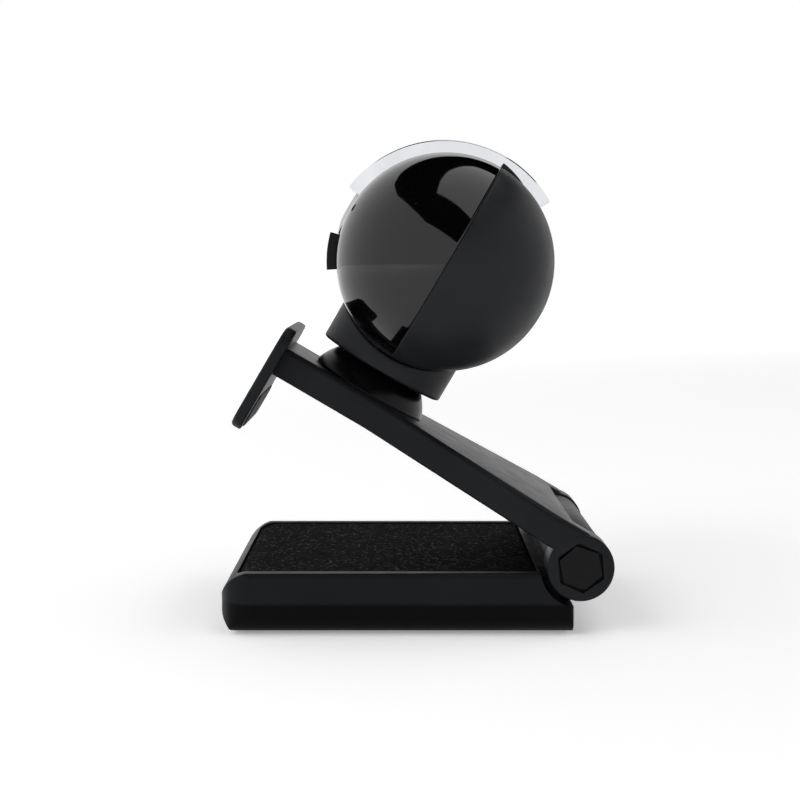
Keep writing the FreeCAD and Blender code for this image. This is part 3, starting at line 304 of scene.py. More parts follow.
def lathe_rows(profile, count=2 * STEPS, lead=0.0):
    """A profile of radius and height turned about Z: x is r cos a, y is r sin a. A radius or a height
    may also be an array of its values round the ring, and the ring may start some degrees round."""
    angle = np.linspace(0, 2 * math.pi, count, endpoint=False) + math.radians(lead)
    radius, height = (np.stack([np.broadcast_to(value, count) for value in column])
                      for column in zip(*profile))
    return np.stack([radius * np.cos(angle), radius * np.sin(angle), height], -1)


def swap(points, order):
    """The same points with their axes in another order."""
    return points[..., list(order)]


def surface(name, groups, sharp=32.0):
    """A mesh object from grids of points in millimetres. Each group is (rows, cap): neighbouring rows
    are joined by quads right round, and cap closes the two ends, or "ring" joins last to first."""
    vertices, faces = [], []
    for rows, cap in groups:
        start = sum(len(block) for block in vertices)
        count, around = rows.shape[:2]
        index = np.arange(count * around).reshape(count, around)
        if cap == "ring":
            index = np.vstack([index, index[:1]])
        low, high = index[:-1], index[1:]
        quads = np.stack([low, np.roll(low, -1, 1), np.roll(high, -1, 1), high], -1).reshape(-1, 4)
        faces.extend((quads + start).tolist())
        if cap == "flat":
            faces.append((index[0][::-1] + start).tolist())
            faces.append((index[-1] + start).tolist())
        vertices.append(rows.reshape(-1, 3))
    mesh = bpy.data.meshes.new(name)
    mesh.from_pydata((np.vstack(vertices) / MM).tolist(), [], faces)
    form = bmesh.new()
    form.from_mesh(mesh)
    bmesh.ops.remove_doubles(form, verts=form.verts, dist=2e-7)
    bmesh.ops.recalc_face_normals(form, faces=form.faces)
    form.to_mesh(mesh)
    form.free()
    mesh.shade_smooth()
    mesh.set_sharp_from_angle(angle=math.radians(sharp))
    piece = bpy.data.objects.new(name, mesh)
    bpy.context.scene.collection.objects.link(piece)
    return piece


def cut(piece, points, sharp=32.0):
    """Takes the volume that the points close off out of the piece."""
    cutter = surface("cutter", [(points, "flat")])
    tool = piece.modifiers.new("cut", "BOOLEAN")
    tool.operation = "DIFFERENCE"
    tool.solver = "EXACT"
    tool.object = cutter
    graph = bpy.context.evaluated_depsgraph_get()
    mesh = bpy.data.meshes.new_from_object(piece.evaluated_get(graph))
    piece.modifiers.clear()
    old = piece.data
    name = old.name
    piece.data = mesh
    bpy.data.meshes.remove(old)
    mesh.name = name
    bpy.data.objects.remove(cutter)
    mesh.shade_smooth()
    mesh.set_sharp_from_angle(angle=math.radians(sharp))


def settle(piece, body, nodes, finish):
    """The piece rides on its body, stands for its CAD nodes and gets its finish."""
    piece.data.materials.clear()
    piece.data.materials.append(finished(finish))
    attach(piece, body)
    if nodes:
        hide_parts(*nodes)


# Materials

MADE = {}


def linear(hex_value):
    """An sRGB hex colour as linear red, green, blue and full opacity."""
    parts = np.array([int(hex_value[i:i + 2], 16) for i in (0, 2, 4)]) / 255
    low = parts / 12.92
    high = ((parts + 0.055) / 1.055) ** 2.4
    return (*np.where(parts <= 0.04045, low, high).tolist(), 1.0)


def shade(hex_value, factor):
    """The same colour, lighter or darker by a factor in linear light."""
    return (*[min(1.0, part * factor) for part in linear(hex_value)[:3]], 1.0)


def add(tree, kind, links=(), values=(), **settings):
    """Adds one node with its settings, its sockets' own values and its incoming links."""
    made = tree.nodes.new(kind)
    for key, value in settings.items():
        setattr(made, key, value)
    for socket, value in values:
        made.inputs[socket].default_value = value
    for source, socket in links:
        tree.links.new(source, made.inputs[socket])
    return made


def start_material(name, values):
    """An empty material with a shader, its plain values and the piece's own coordinates."""
    made = bpy.data.materials.new(name)
    made.use_nodes = True
    tree = made.node_tree
    tree.nodes.clear()
    shader = add(tree, "ShaderNodeBsdfPrincipled", values=values)
    add(tree, "ShaderNodeOutputMaterial", [(shader.outputs["BSDF"], "Surface")])
    place = add(tree, "ShaderNodeTexCoord")
    return made, tree, shader, place.outputs["Object"]


def noise(tree, place, size_mm, detail=2.0, rough=0.5):
    """Noise whose patches are about this many millimetres across."""
    return add(tree, "ShaderNodeTexNoise", [(place, "Vector")],
               [("Scale", MM / size_mm), ("Detail", detail), ("Roughness", rough)]).outputs["Fac"]


def spread(tree, source, low, high, start=0.3, end=0.7):
    """Noise stretched between two values."""
    values = [("From Min", start), ("From Max", end), ("To Min", low), ("To Max", high)]
    return add(tree, "ShaderNodeMapRange", [(source, "Value")], values).outputs["Result"]


def gloss(tree, shader, source, low, high, start=0.3, end=0.7):
    """Roughness that drifts between two values."""
    tree.links.new(spread(tree, source, low, high, start, end), shader.inputs["Roughness"])


def tint(tree, shader, source, dark, light, start=0.35, end=0.65):
    """Base colour that drifts between two near shades."""
    ramp = add(tree, "ShaderNodeValToRGB", [(source, "Fac")])
    ramp.color_ramp.elements[0].position = start
    ramp.color_ramp.elements[1].position = end
    ramp.color_ramp.elements[0].color = dark
    ramp.color_ramp.elements[1].color = light
    tree.links.new(ramp.outputs["Color"], shader.inputs["Base Color"])


def bump(tree, shader, heights):
    """Layers of bump, each a height pattern and its depth in millimetres."""
    normal = None
    for height, depth_mm in heights:
        links = [(height, "Height")]
        if normal is not None:
            links.append((normal, "Normal"))
        made = add(tree, "ShaderNodeBump", links, [("Strength", 1.0), ("Distance", depth_mm / MM)])
        normal = made.outputs["Normal"]
    tree.links.new(normal, shader.inputs["Normal"])


def finished(finish):
    """The material of a finish, made on its first use."""
    if finish not in MADE:
        MADE[finish] = finish(bpy.context.scene.webcam_colours)
    return MADE[finish]


def moulded(name, hex_value, rough, grain_mm, depth_mm, values=()):
    """Moulded plastic or rubber: a drifting tint, uneven gloss, and grain over slow moulding waves."""
    made, tree, shader, place = start_material(name, values)
    tint(tree, shader, noise(tree, place, 9.0, 4.0), shade(hex_value, 0.88), shade(hex_value, 1.12))
    patches = noise(tree, place, 3.5, 5.0, 0.6)
    gloss(tree, shader, patches, rough * 0.9, rough * 1.12)
    grain = noise(tree, place, grain_mm, 3.0, 0.65)
    waves = noise(tree, place, 14.0, 1.0)
    bump(tree, shader, [(waves, 0.03), (grain, depth_mm)])
    return made


def soft_touch(colours):
    """Soft-touch coated ABS, moulded: a dark charcoal with a broad, slightly bright sheen."""
    # Spark-eroded moulds leave 0.05 mm grain; it is drawn at 0.2 mm so that it shows.
    return moulded("soft_touch_coated_abs_moulded", colours.abs, 0.38, 0.2, 0.006,
                   [("IOR", 1.5), ("Specular IOR Level", 0.1)])


def base_plastic_painted_shade(colours):
    """Soft-touch coated ABS of the base: its upper half as the arm, and its tucked-under lower half
    deeper black, which is painted shade for the side that faces away from the light."""
    made, tree, shader, place = start_material(
        "soft_touch_abs_painted_lower_shade", [("IOR", 1.5), ("Specular IOR Level", 0.06)])
    upright = add(tree, "ShaderNodeSeparateXYZ", [(place, "Vector")]).outputs["Z"]
    # Painted shade: below about 4.5 mm the base's colour turns to the under black.
    zone = spread(tree, upright, 0.0, 1.0, 4.3 / MM, 4.7 / MM)
    drift = spread(tree, noise(tree, place, 9.0, 4.0), 0.88, 1.0)
    mixed = add(tree, "ShaderNodeMath", [(zone, 0), (drift, 1)], operation="MULTIPLY").outputs["Value"]
    tint(tree, shader, mixed, linear(colours.under), linear(colours.abs), 0.0, 1.0)
    gloss(tree, shader, noise(tree, place, 3.5, 5.0, 0.6), 0.36, 0.46)
    grain = noise(tree, place, 0.2, 3.0, 0.65)
    bump(tree, shader, [(noise(tree, place, 14.0, 1.0), 0.03), (grain, 0.006)])
    return made


def matt_plastic(colours):
    """Matt ABS, moulded in an etched mould: near black with a wide soft highlight."""
    # The etching's 0.08 mm cells are drawn at 0.22 mm.
    return moulded("matt_abs_etched_mould", colours.matt, 0.42, 0.22, 0.008,
                   [("IOR", 1.53), ("Specular IOR Level", 0.14)])


def satin_plastic(colours):
    """Satin ABS, moulded in a stoned mould: darker, with a tighter highlight than the matt."""
    return moulded("satin_abs_stoned_mould", colours.gloss, 0.26, 0.3, 0.002,
                   [("IOR", 1.53), ("Specular IOR Level", 0.14)])


def rubber(colours):
    """Moulded black rubber: dull, with a fine grain that keeps any highlight very soft."""
    return moulded("nitrile_rubber_moulded", colours.rubber, 0.72, 0.25, 0.012, [("IOR", 1.52)])


def piano_black(colours):
    """Polished black ABS: mirror-like, with a trace of orange peel, dust specks and fine wipe marks."""
    made, tree, shader, place = start_material("piano_black_abs_polished", [("IOR", 1.5)])
    specks = noise(tree, place, 0.35, 0.0)
    tint(tree, shader, specks, linear(colours.gloss), shade(colours.gloss, 6.0), 0.76, 0.82)
    wipes = noise(tree, place, 5.0, 6.0, 0.7)
    gloss(tree, shader, wipes, 0.035, 0.085)
    bump(tree, shader, [(noise(tree, place, 6.0, 1.0), 0.012)])
    return made


def plated(colours):
    """Bright chrome plate on ABS: a clean mirror with slight ripple from the moulding beneath."""
    made, tree, shader, place = start_material("chrome_plated_abs", [("Metallic", 1.0)])
    patches = noise(tree, place, 4.0, 3.0)
    tint(tree, shader, patches, shade(colours.chrome, 0.95), shade(colours.chrome, 1.03))
    gloss(tree, shader, noise(tree, place, 1.5, 4.0), 0.05, 0.11)
    bump(tree, shader, [(noise(tree, place, 3.0, 1.0), 0.006)])
    return made


def turned_metal(name, hex_value, rough, pitch_mm, depth_mm, stretch):
    """Metal with tool lines: noise squeezed along one direction gives lines across it."""
    made, tree, shader, place = start_material(name, [("Metallic", 1.0)])
    tint(tree, shader, noise(tree, place, 2.5, 4.0), shade(hex_value, 0.85), shade(hex_value, 1.1))
    gloss(tree, shader, noise(tree, place, 1.2, 4.0), rough * 0.8, rough * 1.25)
    lines = add(tree, "ShaderNodeMapping", [(place, "Vector")], [("Scale", stretch)]).outputs["Vector"]
    bump(tree, shader, [(noise(tree, lines, pitch_mm, 2.0), depth_mm)])
    return made


def anodised(colours):
    """Anodised aluminium, turned then bead-blasted: light grey with a frosted, even sparkle."""
    # 0.1 mm blasting marks are drawn at 0.15 mm.
    return turned_metal("anodised_aluminium_blasted", colours.silver, 0.36, 0.15, 0.004, (1, 1, 1))


def zinc_steel(colours):
    """Zinc-plated steel, cold headed: grey with a mottled gloss and drawn lines."""
    return turned_metal("zinc_plated_steel_headed", colours.steel, 0.3, 0.2, 0.003, (1, 0.15, 1))


def machined_brass(colours):
    """Machined brass: warm yellow with fine tool lines round it."""
    return turned_metal("brass_turned", colours.brass, 0.26, 0.22, 0.005, (0.2, 0.2, 1))


def acetal(colours):
    """Natural acetal, moulded: milky white and slightly waxy."""
    return moulded("acetal_natural_moulded", colours.acetal, 0.34, 0.4, 0.004,
                   [("IOR", 1.48), ("Subsurface Weight", 0.15), ("Subsurface Scale", 0.001)])


def foam(colours):
    """Closed-cell neoprene foam with a skin: very dark, with painted glints: here and there a cell is painted
    lighter, and is glossier.
    """
    made, tree, shader, place = start_material(
        "neoprene_foam_painted_glints", [("IOR", 1.5), ("Specular IOR Level", 0.02)])
    # The skin's cells are 0.2 mm and are drawn at 0.32 mm.
    cells = add(tree, "ShaderNodeTexVoronoi", [(place, "Vector")], [("Scale", MM / 0.32)])
    painted_glints = add(tree, "ShaderNodeSeparateColor", [(cells.outputs["Color"], "Color")]).outputs["Red"]
    # Painted glints: the cells at the top of the red channel are painted up to eight times lighter.
    tint(tree, shader, painted_glints, linear(colours.foam), shade(colours.foam, 8.0), 0.92, 1.0)
    gloss(tree, shader, painted_glints, 0.85, 0.45, 0.8, 1.0)
    slow = noise(tree, place, 5.0, 3.0)
    fine = noise(tree, place, 0.2, 2.0)
    bump(tree, shader, [(slow, 0.05), (cells.outputs["Distance"], 0.05), (fine, 0.02)])
    return made


def lens_glass(colours):
    """Coated optical glass, polished: clear, with a faint violet film and a slight drift in its tint."""
    film = [("Thin Film Thickness", 110.0), ("Thin Film IOR", 1.38)]
    values = [("IOR", 1.52), ("Transmission Weight", 0.85)] + film
    made, tree, shader, place = start_material("optical_glass_coated", values)
    tint(tree, shader, noise(tree, place, 1.5, 3.0), linear("C9C4DA"), linear("DAD8E6"))
    gloss(tree, shader, noise(tree, place, 0.8, 4.0), 0.015, 0.05)
    bump(tree, shader, [(noise(tree, place, 4.0, 1.0), 0.002)])
    return made


def clear_plastic(colours):
    """Clear polycarbonate, moulded: slightly milky at its edges."""
    return moulded("polycarbonate_clear_moulded", "D8DCE0", 0.12, 0.4, 0.002,
                   [("IOR", 1.58), ("Transmission Weight", 0.9)])


def board(colours):
    """Glass-epoxy board with solder resist: dark green gloss over faint copper tracks."""
    made, tree, shader, place = start_material(
        "glass_epoxy_solder_resist", [("IOR", 1.55), ("Coat Weight", 0.5)])
    # Tracks are 0.2 mm wide at a 1 mm pitch.
    tracks = add(tree, "ShaderNodeTexBrick", [(place, "Vector")],
                 [("Scale", MM / 2.0), ("Mortar Size", 0.08), ("Color1", linear(colours.board)),
                  ("Color2", shade(colours.board, 0.8)), ("Mortar", shade(colours.board, 1.9))])
    tree.links.new(tracks.outputs["Color"], shader.inputs["Base Color"])
    gloss(tree, shader, noise(tree, place, 1.0, 3.0), 0.22, 0.36)
    bump(tree, shader, [(tracks.outputs["Fac"], 0.03)])
    return made


def chip_plastic(colours):
    """Glass-filled epoxy of the chips, moulded: dull charcoal with fine grain."""
    return moulded("epoxy_moulding_compound", "1C1C1D", 0.55, 0.15, 0.006)


def connector_plastic(colours):
    """Nylon of the connector, moulded: warm white with a soft gloss."""
    return moulded("nylon_natural_moulded", "E4E0D4", 0.4, 0.3, 0.004, [("IOR", 1.53)])


def flat_cable(colours):
    """Polyimide flat cable: amber film over copper, with a low gloss."""
    return moulded("polyimide_film_laminated", "8A5A1C", 0.3, 0.3, 0.003, [("IOR", 1.6)])


def black_metal(colours):
    """Black-oxide steel, stamped: dark with a faint blue cast."""
    return turned_metal("black_oxide_steel_stamped", "2A2B2F", 0.4, 0.2, 0.004, (1, 0.3, 1))


# Head shells

def stadium_reach(turn, radius, half):
    """Distance from the centre to the edge of a round-ended outline in each direction: radius over the
    sine where the straight sides are met, else half times the cosine plus the root that meets an end."""
    side = np.abs(np.sin(turn))
    along = np.abs(np.cos(turn))
    straight = radius / np.maximum(side, 1e-9)
    end = half * along + np.sqrt(np.maximum(radius**2 - (half * side) ** 2, 0))
    return np.where(straight * along <= half, straight, end)


def capsule_rows(radius, half, hole, floor, rows, sign, around=256):
    """Half of a round-ended bar, as rings from a round hole on the lens axis out to the seam. A ring's
    distance out is the outline's reach times the sine of an even sweep, and its height is the root of
    radius squared less the distance from the bar's middle line squared, but not below the floor."""
    turn = np.linspace(0, 2 * math.pi, around, endpoint=False)
    reach = stadium_reach(turn, radius, half)
    start = np.arcsin(np.minimum(hole / reach, 1.0))
    sweep = start + np.linspace(0, 1, rows)[:, None] * (math.pi / 2 - start)
    out = reach * np.sin(sweep)
    y = out * np.cos(turn)
    z = out * np.sin(turn)
    off = np.maximum(np.abs(y) - half, 0)
    height = np.sqrt(np.maximum(radius**2 - off**2 - z**2, 0))
    return np.stack([sign * np.maximum(height, floor), y, z], -1)


def shell_rows(head, hole, sign):
    """A shell: the outside from the hole to the seam, a small rounded seam lip, and the inside back."""
    half = head.straight / 2
    outer = capsule_rows(head.radius, half, hole, head.seam + 0.06, 84, sign)
    turned_in = capsule_rows(head.radius - 0.02, half, hole, head.seam + 0.02, 2, sign)[-1:]
    lip = capsule_rows(head.radius - 0.16, half, hole, head.seam, 2, sign)[-1:]
    inner = capsule_rows(head.radius - head.wall, half, hole, head.seam, 40, sign)[::-1]
    return np.concatenate([outer, turned_in, lip, inner])


def arc_grid(radii, angles, y):
    """Points at a radius and an angle about the head's long axis: x is r cos a and z is r sin a."""
    radii, angles, y = np.broadcast_arrays(radii, angles, y)
    return np.stack([radii * np.cos(angles), y, radii * np.sin(angles)], -1)


def rod_cutter(radius, place, direction, start, end, steps=48):
    """A closed rod along x, y or z for cutting, turned about that axis."""
    rows = lathe_rows([(radius, start), (radius, end)], steps)
    order = {"x": (2, 0, 1), "y": (1, 2, 0), "z": (0, 1, 2)}[direction]
    return swap(rows, order) + np.array(place)


def slot_cutter(inner, outer, start, end, half_width, steps=40):
    """A closed sector of a ring for cutting: four corners carried along an arc."""
    angle = np.radians(np.linspace(start, end, steps))[:, None]
    radii = np.array([inner, outer, outer, inner])
    y = np.array([-half_width, -half_width, half_width, half_width])
    return arc_grid(radii, angle, y)


class WEBCAM_OT_front_shell(bpy.types.Operator):
    """Glossy front half of the head"""

    bl_idname = "webcam.front_shell"
    bl_label = "Front shell"

    def execute(self, context):
        head = context.scene.webcam_head
        rows = shell_rows(head, head.bezel + head.bezel_gap, -1)
        shell = surface("front_half", [(on_head(rows), "ring")])
        inner, outer = head.radius - CUT_DEPTH, head.radius + CUT_PROUD
        holes = [slot_cutter(inner, outer, head.slot_start, SEAM_ANGLE + SLOT_LAP, head.slot_half)]
        for side in (-1, 1):
            across = (0, side * head.mic_spread, 0)
            holes.append(rod_cutter(head.mic_hole, across, "x", -outer, CUT_PROUD - inner))
            track = slot_cutter(inner, outer, head.track_start, head.track_stop, head.track_half)
            holes.append(track + np.array([0, side * head.track_offset, 0]))
        holes.append(rod_cutter(head.pipe_hole, (0, head.pipe_offset, 0), "x", -outer, -inner))
        for hole in holes:
            cut(shell, on_head(hole))
        settle(shell, "head", ["front_shell"], piano_black)
        return {"FINISHED"}


class WEBCAM_OT_rear_shell(bpy.types.Operator):
    """Matt rear half of the head, with its two shoulders"""

    bl_idname = "webcam.rear_shell"
    bl_label = "Rear shell"

    def execute(self, context):
        head = context.scene.webcam_head
        shell = surface("rear_half", [(on_head(shell_rows(head, head.gland, 1)), "ring")])
        inner, outer = head.radius - CUT_DEPTH, head.radius + CUT_PROUD
        holes = [slot_cutter(inner, outer, SEAM_ANGLE - SLOT_LAP, head.slot_stop, head.slot_half)]
        for y in (-head.screw_across, head.screw_across):
            for z in (-head.screw_up, head.screw_up):
                holes.append(rod_cutter(head.screw_hole, (0, y, z), "x", head.screw_seat, outer))
        for hole in holes:
            cut(shell, on_head(hole))
        settle(shell, "head", ["rear_shell"], matt_plastic)
        ramps = [(on_head(self.ramp(head, side)), "flat") for side in (-1, 1)]
        shoulders = surface("shoulders", ramps, 40.0)
        settle(shoulders, "head", [], matt_plastic)
        return {"FINISHED"}

    def ramp(self, head, side, steps=40, rise_power=1.5):
        """A ramp beside the band: a rounded section carried along an arc, whose height over the head
        grows from nothing to full by a power of the way towards the seam."""
        way = np.linspace(0, 1, steps)[:, None]
        angle = np.radians(head.shoulder_end + way * (89.7 - head.shoulder_end))
        top = head.radius + head.shoulder_rise * way ** (1 / rise_power)
        low = head.radius - head.wall / 2
        inner = head.band_half + 0.05
        turn = np.linspace(math.pi / 2, 0, 8)
        rounding = np.minimum(0.5, (top - low) * 0.45)
        outer_y = head.shoulder_half - rounding * (1 - np.cos(turn))
        outer_r = top - rounding * (1 - np.sin(turn))
        inner_y = inner + 0.15 * (1 - np.cos(turn[::-1])) + 0 * way
        inner_r = top - 0.15 * (1 - np.sin(turn[::-1]))
        y = np.concatenate([inner + 0 * way, inner_y, outer_y, head.shoulder_half + 0 * way], 1)
        r = np.concatenate([low + 0 * way, inner_r, outer_r, low + 0 * way], 1)
        return arc_grid(r, angle, side * y)


# Band

def band_outline(head, margin, count=420):
    """The band's outline on the head's surface unrolled flat: distance round the head against y. Its
    rear end and sides are straight, and its front end is hollowed by a circle about the lens."""
    outer = head.radius + head.band_rise
    rear = math.radians(head.band_start) * outer + margin
    front = math.radians(head.band_end) * outer - margin
    half = head.band_half - margin
    arch = head.bezel + 0.2 + margin
    side = np.linspace(-1, 1, 60)[1:-1] * min(half, arch * 0.98)
    depth = np.sqrt(np.maximum(arch**2 - side**2, 0)) / outer
    hollow = math.pi * outer - np.arcsin(np.clip(depth, 0, 1)) * outer
    hollow = np.minimum(hollow, front)
    corner = min(0.9, half / 3)
    corners = [(front, half), (rear, half), (rear, -half), (front, -half)]
    rounded = corner_arcs(corners, [0.01, corner, corner, 0.01], 10).reshape(4, 10, 2)
    ends = np.array([[front, -half], [front, half]])
    tip = np.column_stack([hollow, side])
    loop = np.vstack([ends[:1], tip, ends[1:], rounded[1], rounded[2]])
    return evenly(loop, count)


def wrapped(head, line, level):
    """An unrolled line wrapped back round the head at one radius: the angle is its distance over the
    band's outer radius."""
    return arc_grid(level, line[:, 0] / (head.radius + head.band_rise), line[:, 1])


class WEBCAM_OT_band(bpy.types.Operator):
    """Plated band over the head, with its glossy black face"""

    bl_idname = "webcam.band"
    bl_label = "Band"

    def execute(self, context):
        head = context.scene.webcam_head
        outer = head.radius + head.band_rise
        low = head.radius + 0.02
        floor = outer - head.band_sink - 0.15
        rim = head.band_rim
        drop, draw = quarter(0.2)
        insets = np.concatenate([[0.0], draw, rim - draw[::-1], [rim, rim]])
        levels = np.concatenate([[low], outer - drop, outer - drop[::-1], [floor, low]])
        rows = [wrapped(head, band_outline(head, d), level) for d, level in zip(insets, levels)]
        frame_piece = surface("band_rim", [(on_head(np.stack(rows)), "ring")], 50.0)
        settle(frame_piece, "head", ["band_frame"], plated)
        self.face(head, outer - head.band_sink, floor - 0.5)
        return {"FINISHED"}

    def face(self, head, top, low):
        """The face is filled across: each row runs from one side of its outline to the other."""
        edge = head.band_rim + 0.05
        rows = [wrapped(head, band_outline(head, edge), low)]
        for gap, level in ((0.0, top - 0.15), (0.04, top - 0.04), (0.15, top)):
            rows.append(wrapped(head, band_outline(head, edge + gap), level))
        line = band_outline(head, edge + 0.15)
        for part in np.linspace(1, 0.001, 40)[1:]:
            rows.append(wrapped(head, line * [1, part], top))
        face = surface("band_strip", [(on_head(np.stack(rows)), "open")], 40.0)
        settle(face, "head", ["band_face"], piano_black)


class WEBCAM_OT_lens(bpy.types.Operator):
    """Anodised bezel round the lens, with its glass window"""

    bl_idname = "webcam.lens"
    bl_label = "Lens bezel and window"

    def execute(self, context):
        head = context.scene.webcam_head
        crown = head.radius + head.bezel_rise
        reach = np.linspace(head.bezel - 0.1, head.window + 0.1, 40)
        dome = crown - (head.bezel_curve - np.sqrt(head.bezel_curve**2 - reach**2))
        groove_depth, groove_half = 0.05, 0.06
        groove = sum(groove_depth * (np.abs(reach - ring) < groove_half) for ring in (3.1, 3.9))
        face = np.column_stack([reach, dome - groove])
        rear = head.radius - head.bezel_depth
        seat = head.radius + head.window_rise - head.window_thickness
        ledge = head.window - head.window_ledge
        profile = np.vstack([
            [(head.bezel, rear), (head.bezel, dome[0] - 0.12), (head.bezel - 0.03, dome[0] - 0.04)],
            face,
            [(head.window + 0.02, dome[-1] - 0.08), (head.window, seat), (ledge, seat)],
            [(ledge, head.barrel_front), (head.barrel_room, head.barrel_front)],
            [(head.barrel_room, rear)],
        ])
        bezel = surface("lens_ring", [(self.turned_about_lens(profile, 160), "ring")], 30.0)
        settle(bezel, "head", ["lens_bezel"], anodised)
        front = seat + head.window_thickness
        edge = head.window - 0.05
        curve = [(r, front - 0.06 * (r / edge) ** 2) for r in np.linspace(edge - 0.05, 0.02, 16)]
        profile = [(0.02, seat), (edge, seat), (edge, front - 0.1)] + curve
        window = surface("window", [(self.turned_about_lens(profile, 96), "flat")], 40.0)
        settle(window, "head", ["lens_window"], lens_glass)
        return {"FINISHED"}

    def turned_about_lens(self, profile, count):
        """A profile turned about the lens axis, with its heights measured forwards along -x."""
        return on_head(swap(lathe_rows(profile, count), (2, 0, 1)) * np.array([-1, 1, 1]))


class WEBCAM_OT_shutter(bpy.types.Operator):
    """Sliding privacy shutter under the lens"""

    bl_idname = "webcam.shutter"
    bl_label = "Privacy shutter"

    def execute(self, context):
        head = context.scene.webcam_head
        half = head.band_half
        low = head.radius + 0.1
        under = head.radius + head.shutter_inner
        top = under + head.shutter_roof
        inner = half - head.band_rim
        section = [(low, -half), (top, -half), (top, half), (low, half),
                   (low, inner), (under, inner), (under, -inner), (low, -inner)]
        line = corner_arcs(section, [0.05, 0.3, 0.3] + [0.05] * 5, 6)
        angle = np.radians(np.linspace(head.shutter_start, head.shutter_end, 64))[:, None]
        groups = [(on_head(arc_grid(line[:, 0], angle, line[:, 1])), "flat")]
        middle = (head.shutter_start + head.shutter_end) / 2
        for rib in (-1.2, 0.0, 1.2):
            bar = slot_cutter(top - 0.1, top + 0.12, middle + rib - 0.35, middle + rib + 0.35, 3.4, 6)
            groups.append((on_head(bar), "flat"))
        for side in (-1, 1):
            leg = slot_cutter(head.leg_reach, under + 0.2, middle - 2.0, middle + 2.0, head.leg_half, 8)
            groups.append((on_head(leg + np.array([0, side * head.track_offset, 0])), "flat"))
        shutter = surface("shutter", groups)
        settle(shutter, "shutter", ["privacy_shutter"], satin_plastic)
        return {"FINISHED"}


class WEBCAM_OT_swivel(bpy.types.Operator):
    """Cup under the head and dome on the arm"""

    bl_idname = "webcam.swivel"
    bl_label = "Cup and dome"

    def execute(self, context):
        arm = context.scene.webcam_arm
        head = context.scene.webcam_head
        base = context.scene.webcam_base
        self.cup(arm, head, base)
        self.dome(arm, base)
        return {"FINISHED"}

    def cup(self, arm, head, base):
        """A round cup whose top is hollowed by the head's own curve: height is minus the root of the
        hollow's radius squared less x squared, and the walls run between that and the floor."""
        hollow = head.radius + arm.saddle_gap
        floor = -(HEAD_HEIGHT - base.disc - arm.neck)
        seat = -(head.radius + arm.flange_drop + arm.flange_seat)
        across = np.cos(np.linspace(0, 2 * math.pi, 2 * STEPS, endpoint=False))
        low, soft = 0.45, 0.35
        low_in, low_up = quarter(low, 8)
        top = -np.sqrt(hollow**2 - (arm.cup * across) ** 2) - soft
        rows = [(arm.spindle, floor)] + list(zip(arm.cup - low_in, floor + low_up))
        for part in np.concatenate([np.linspace(0.15, 0.9, 10), [1.0]]):
            rows.append((arm.cup, floor + low + (top - floor - low) * part))
        for down, draw in list(zip(*quarter(soft, 8)))[1:]:
            reach = arm.cup - draw
            rows.append((reach, -np.sqrt(hollow**2 - (reach * across) ** 2) - down))
        for reach in np.linspace(arm.cup - soft, arm.flange + 0.05, 14)[1:]:
            rows.append((reach, -np.sqrt(hollow**2 - (reach * across) ** 2)))
        rows += [(arm.flange + 0.05, seat), (arm.spindle, seat)]
        cup = surface("cup", [(on_head(lathe_rows(rows)), "ring")])
        settle(cup, "swivel", ["swivel_cup"], matt_plastic)

    def dome(self, arm, base):
        """A slice of a ball with a flat top, standing on the arm over a shallow step."""
        top_of_arm = base.disc
        centre = top_of_arm - arm.dome_drop
        high = top_of_arm + arm.dome_height
        soft = 0.25
        level = np.linspace(top_of_arm + soft, high - soft, 30)
        reach = np.sqrt(arm.dome_ball**2 - (level - centre) ** 2)
        bore = arm.spindle + 0.1
        turn = np.linspace(0, math.pi / 2, 6)[1:]
        crest = [(reach[-1] - 0.4 * (1 - math.cos(t)), high - soft + soft * math.sin(t)) for t in turn]
        foot = reach[0] - soft
        profile = [(bore, top_of_arm), (foot, top_of_arm), (foot, top_of_arm + 0.2)]
        profile += list(zip(reach, level)) + crest + [(bore, high)]
        rows = lathe_rows(profile, 192) + np.array([SWIVEL_X, 0, 0])
        dome = surface("dome", [(on_arm(rows), "ring")])
        settle(dome, "arm", ["swivel_dome"], satin_plastic)


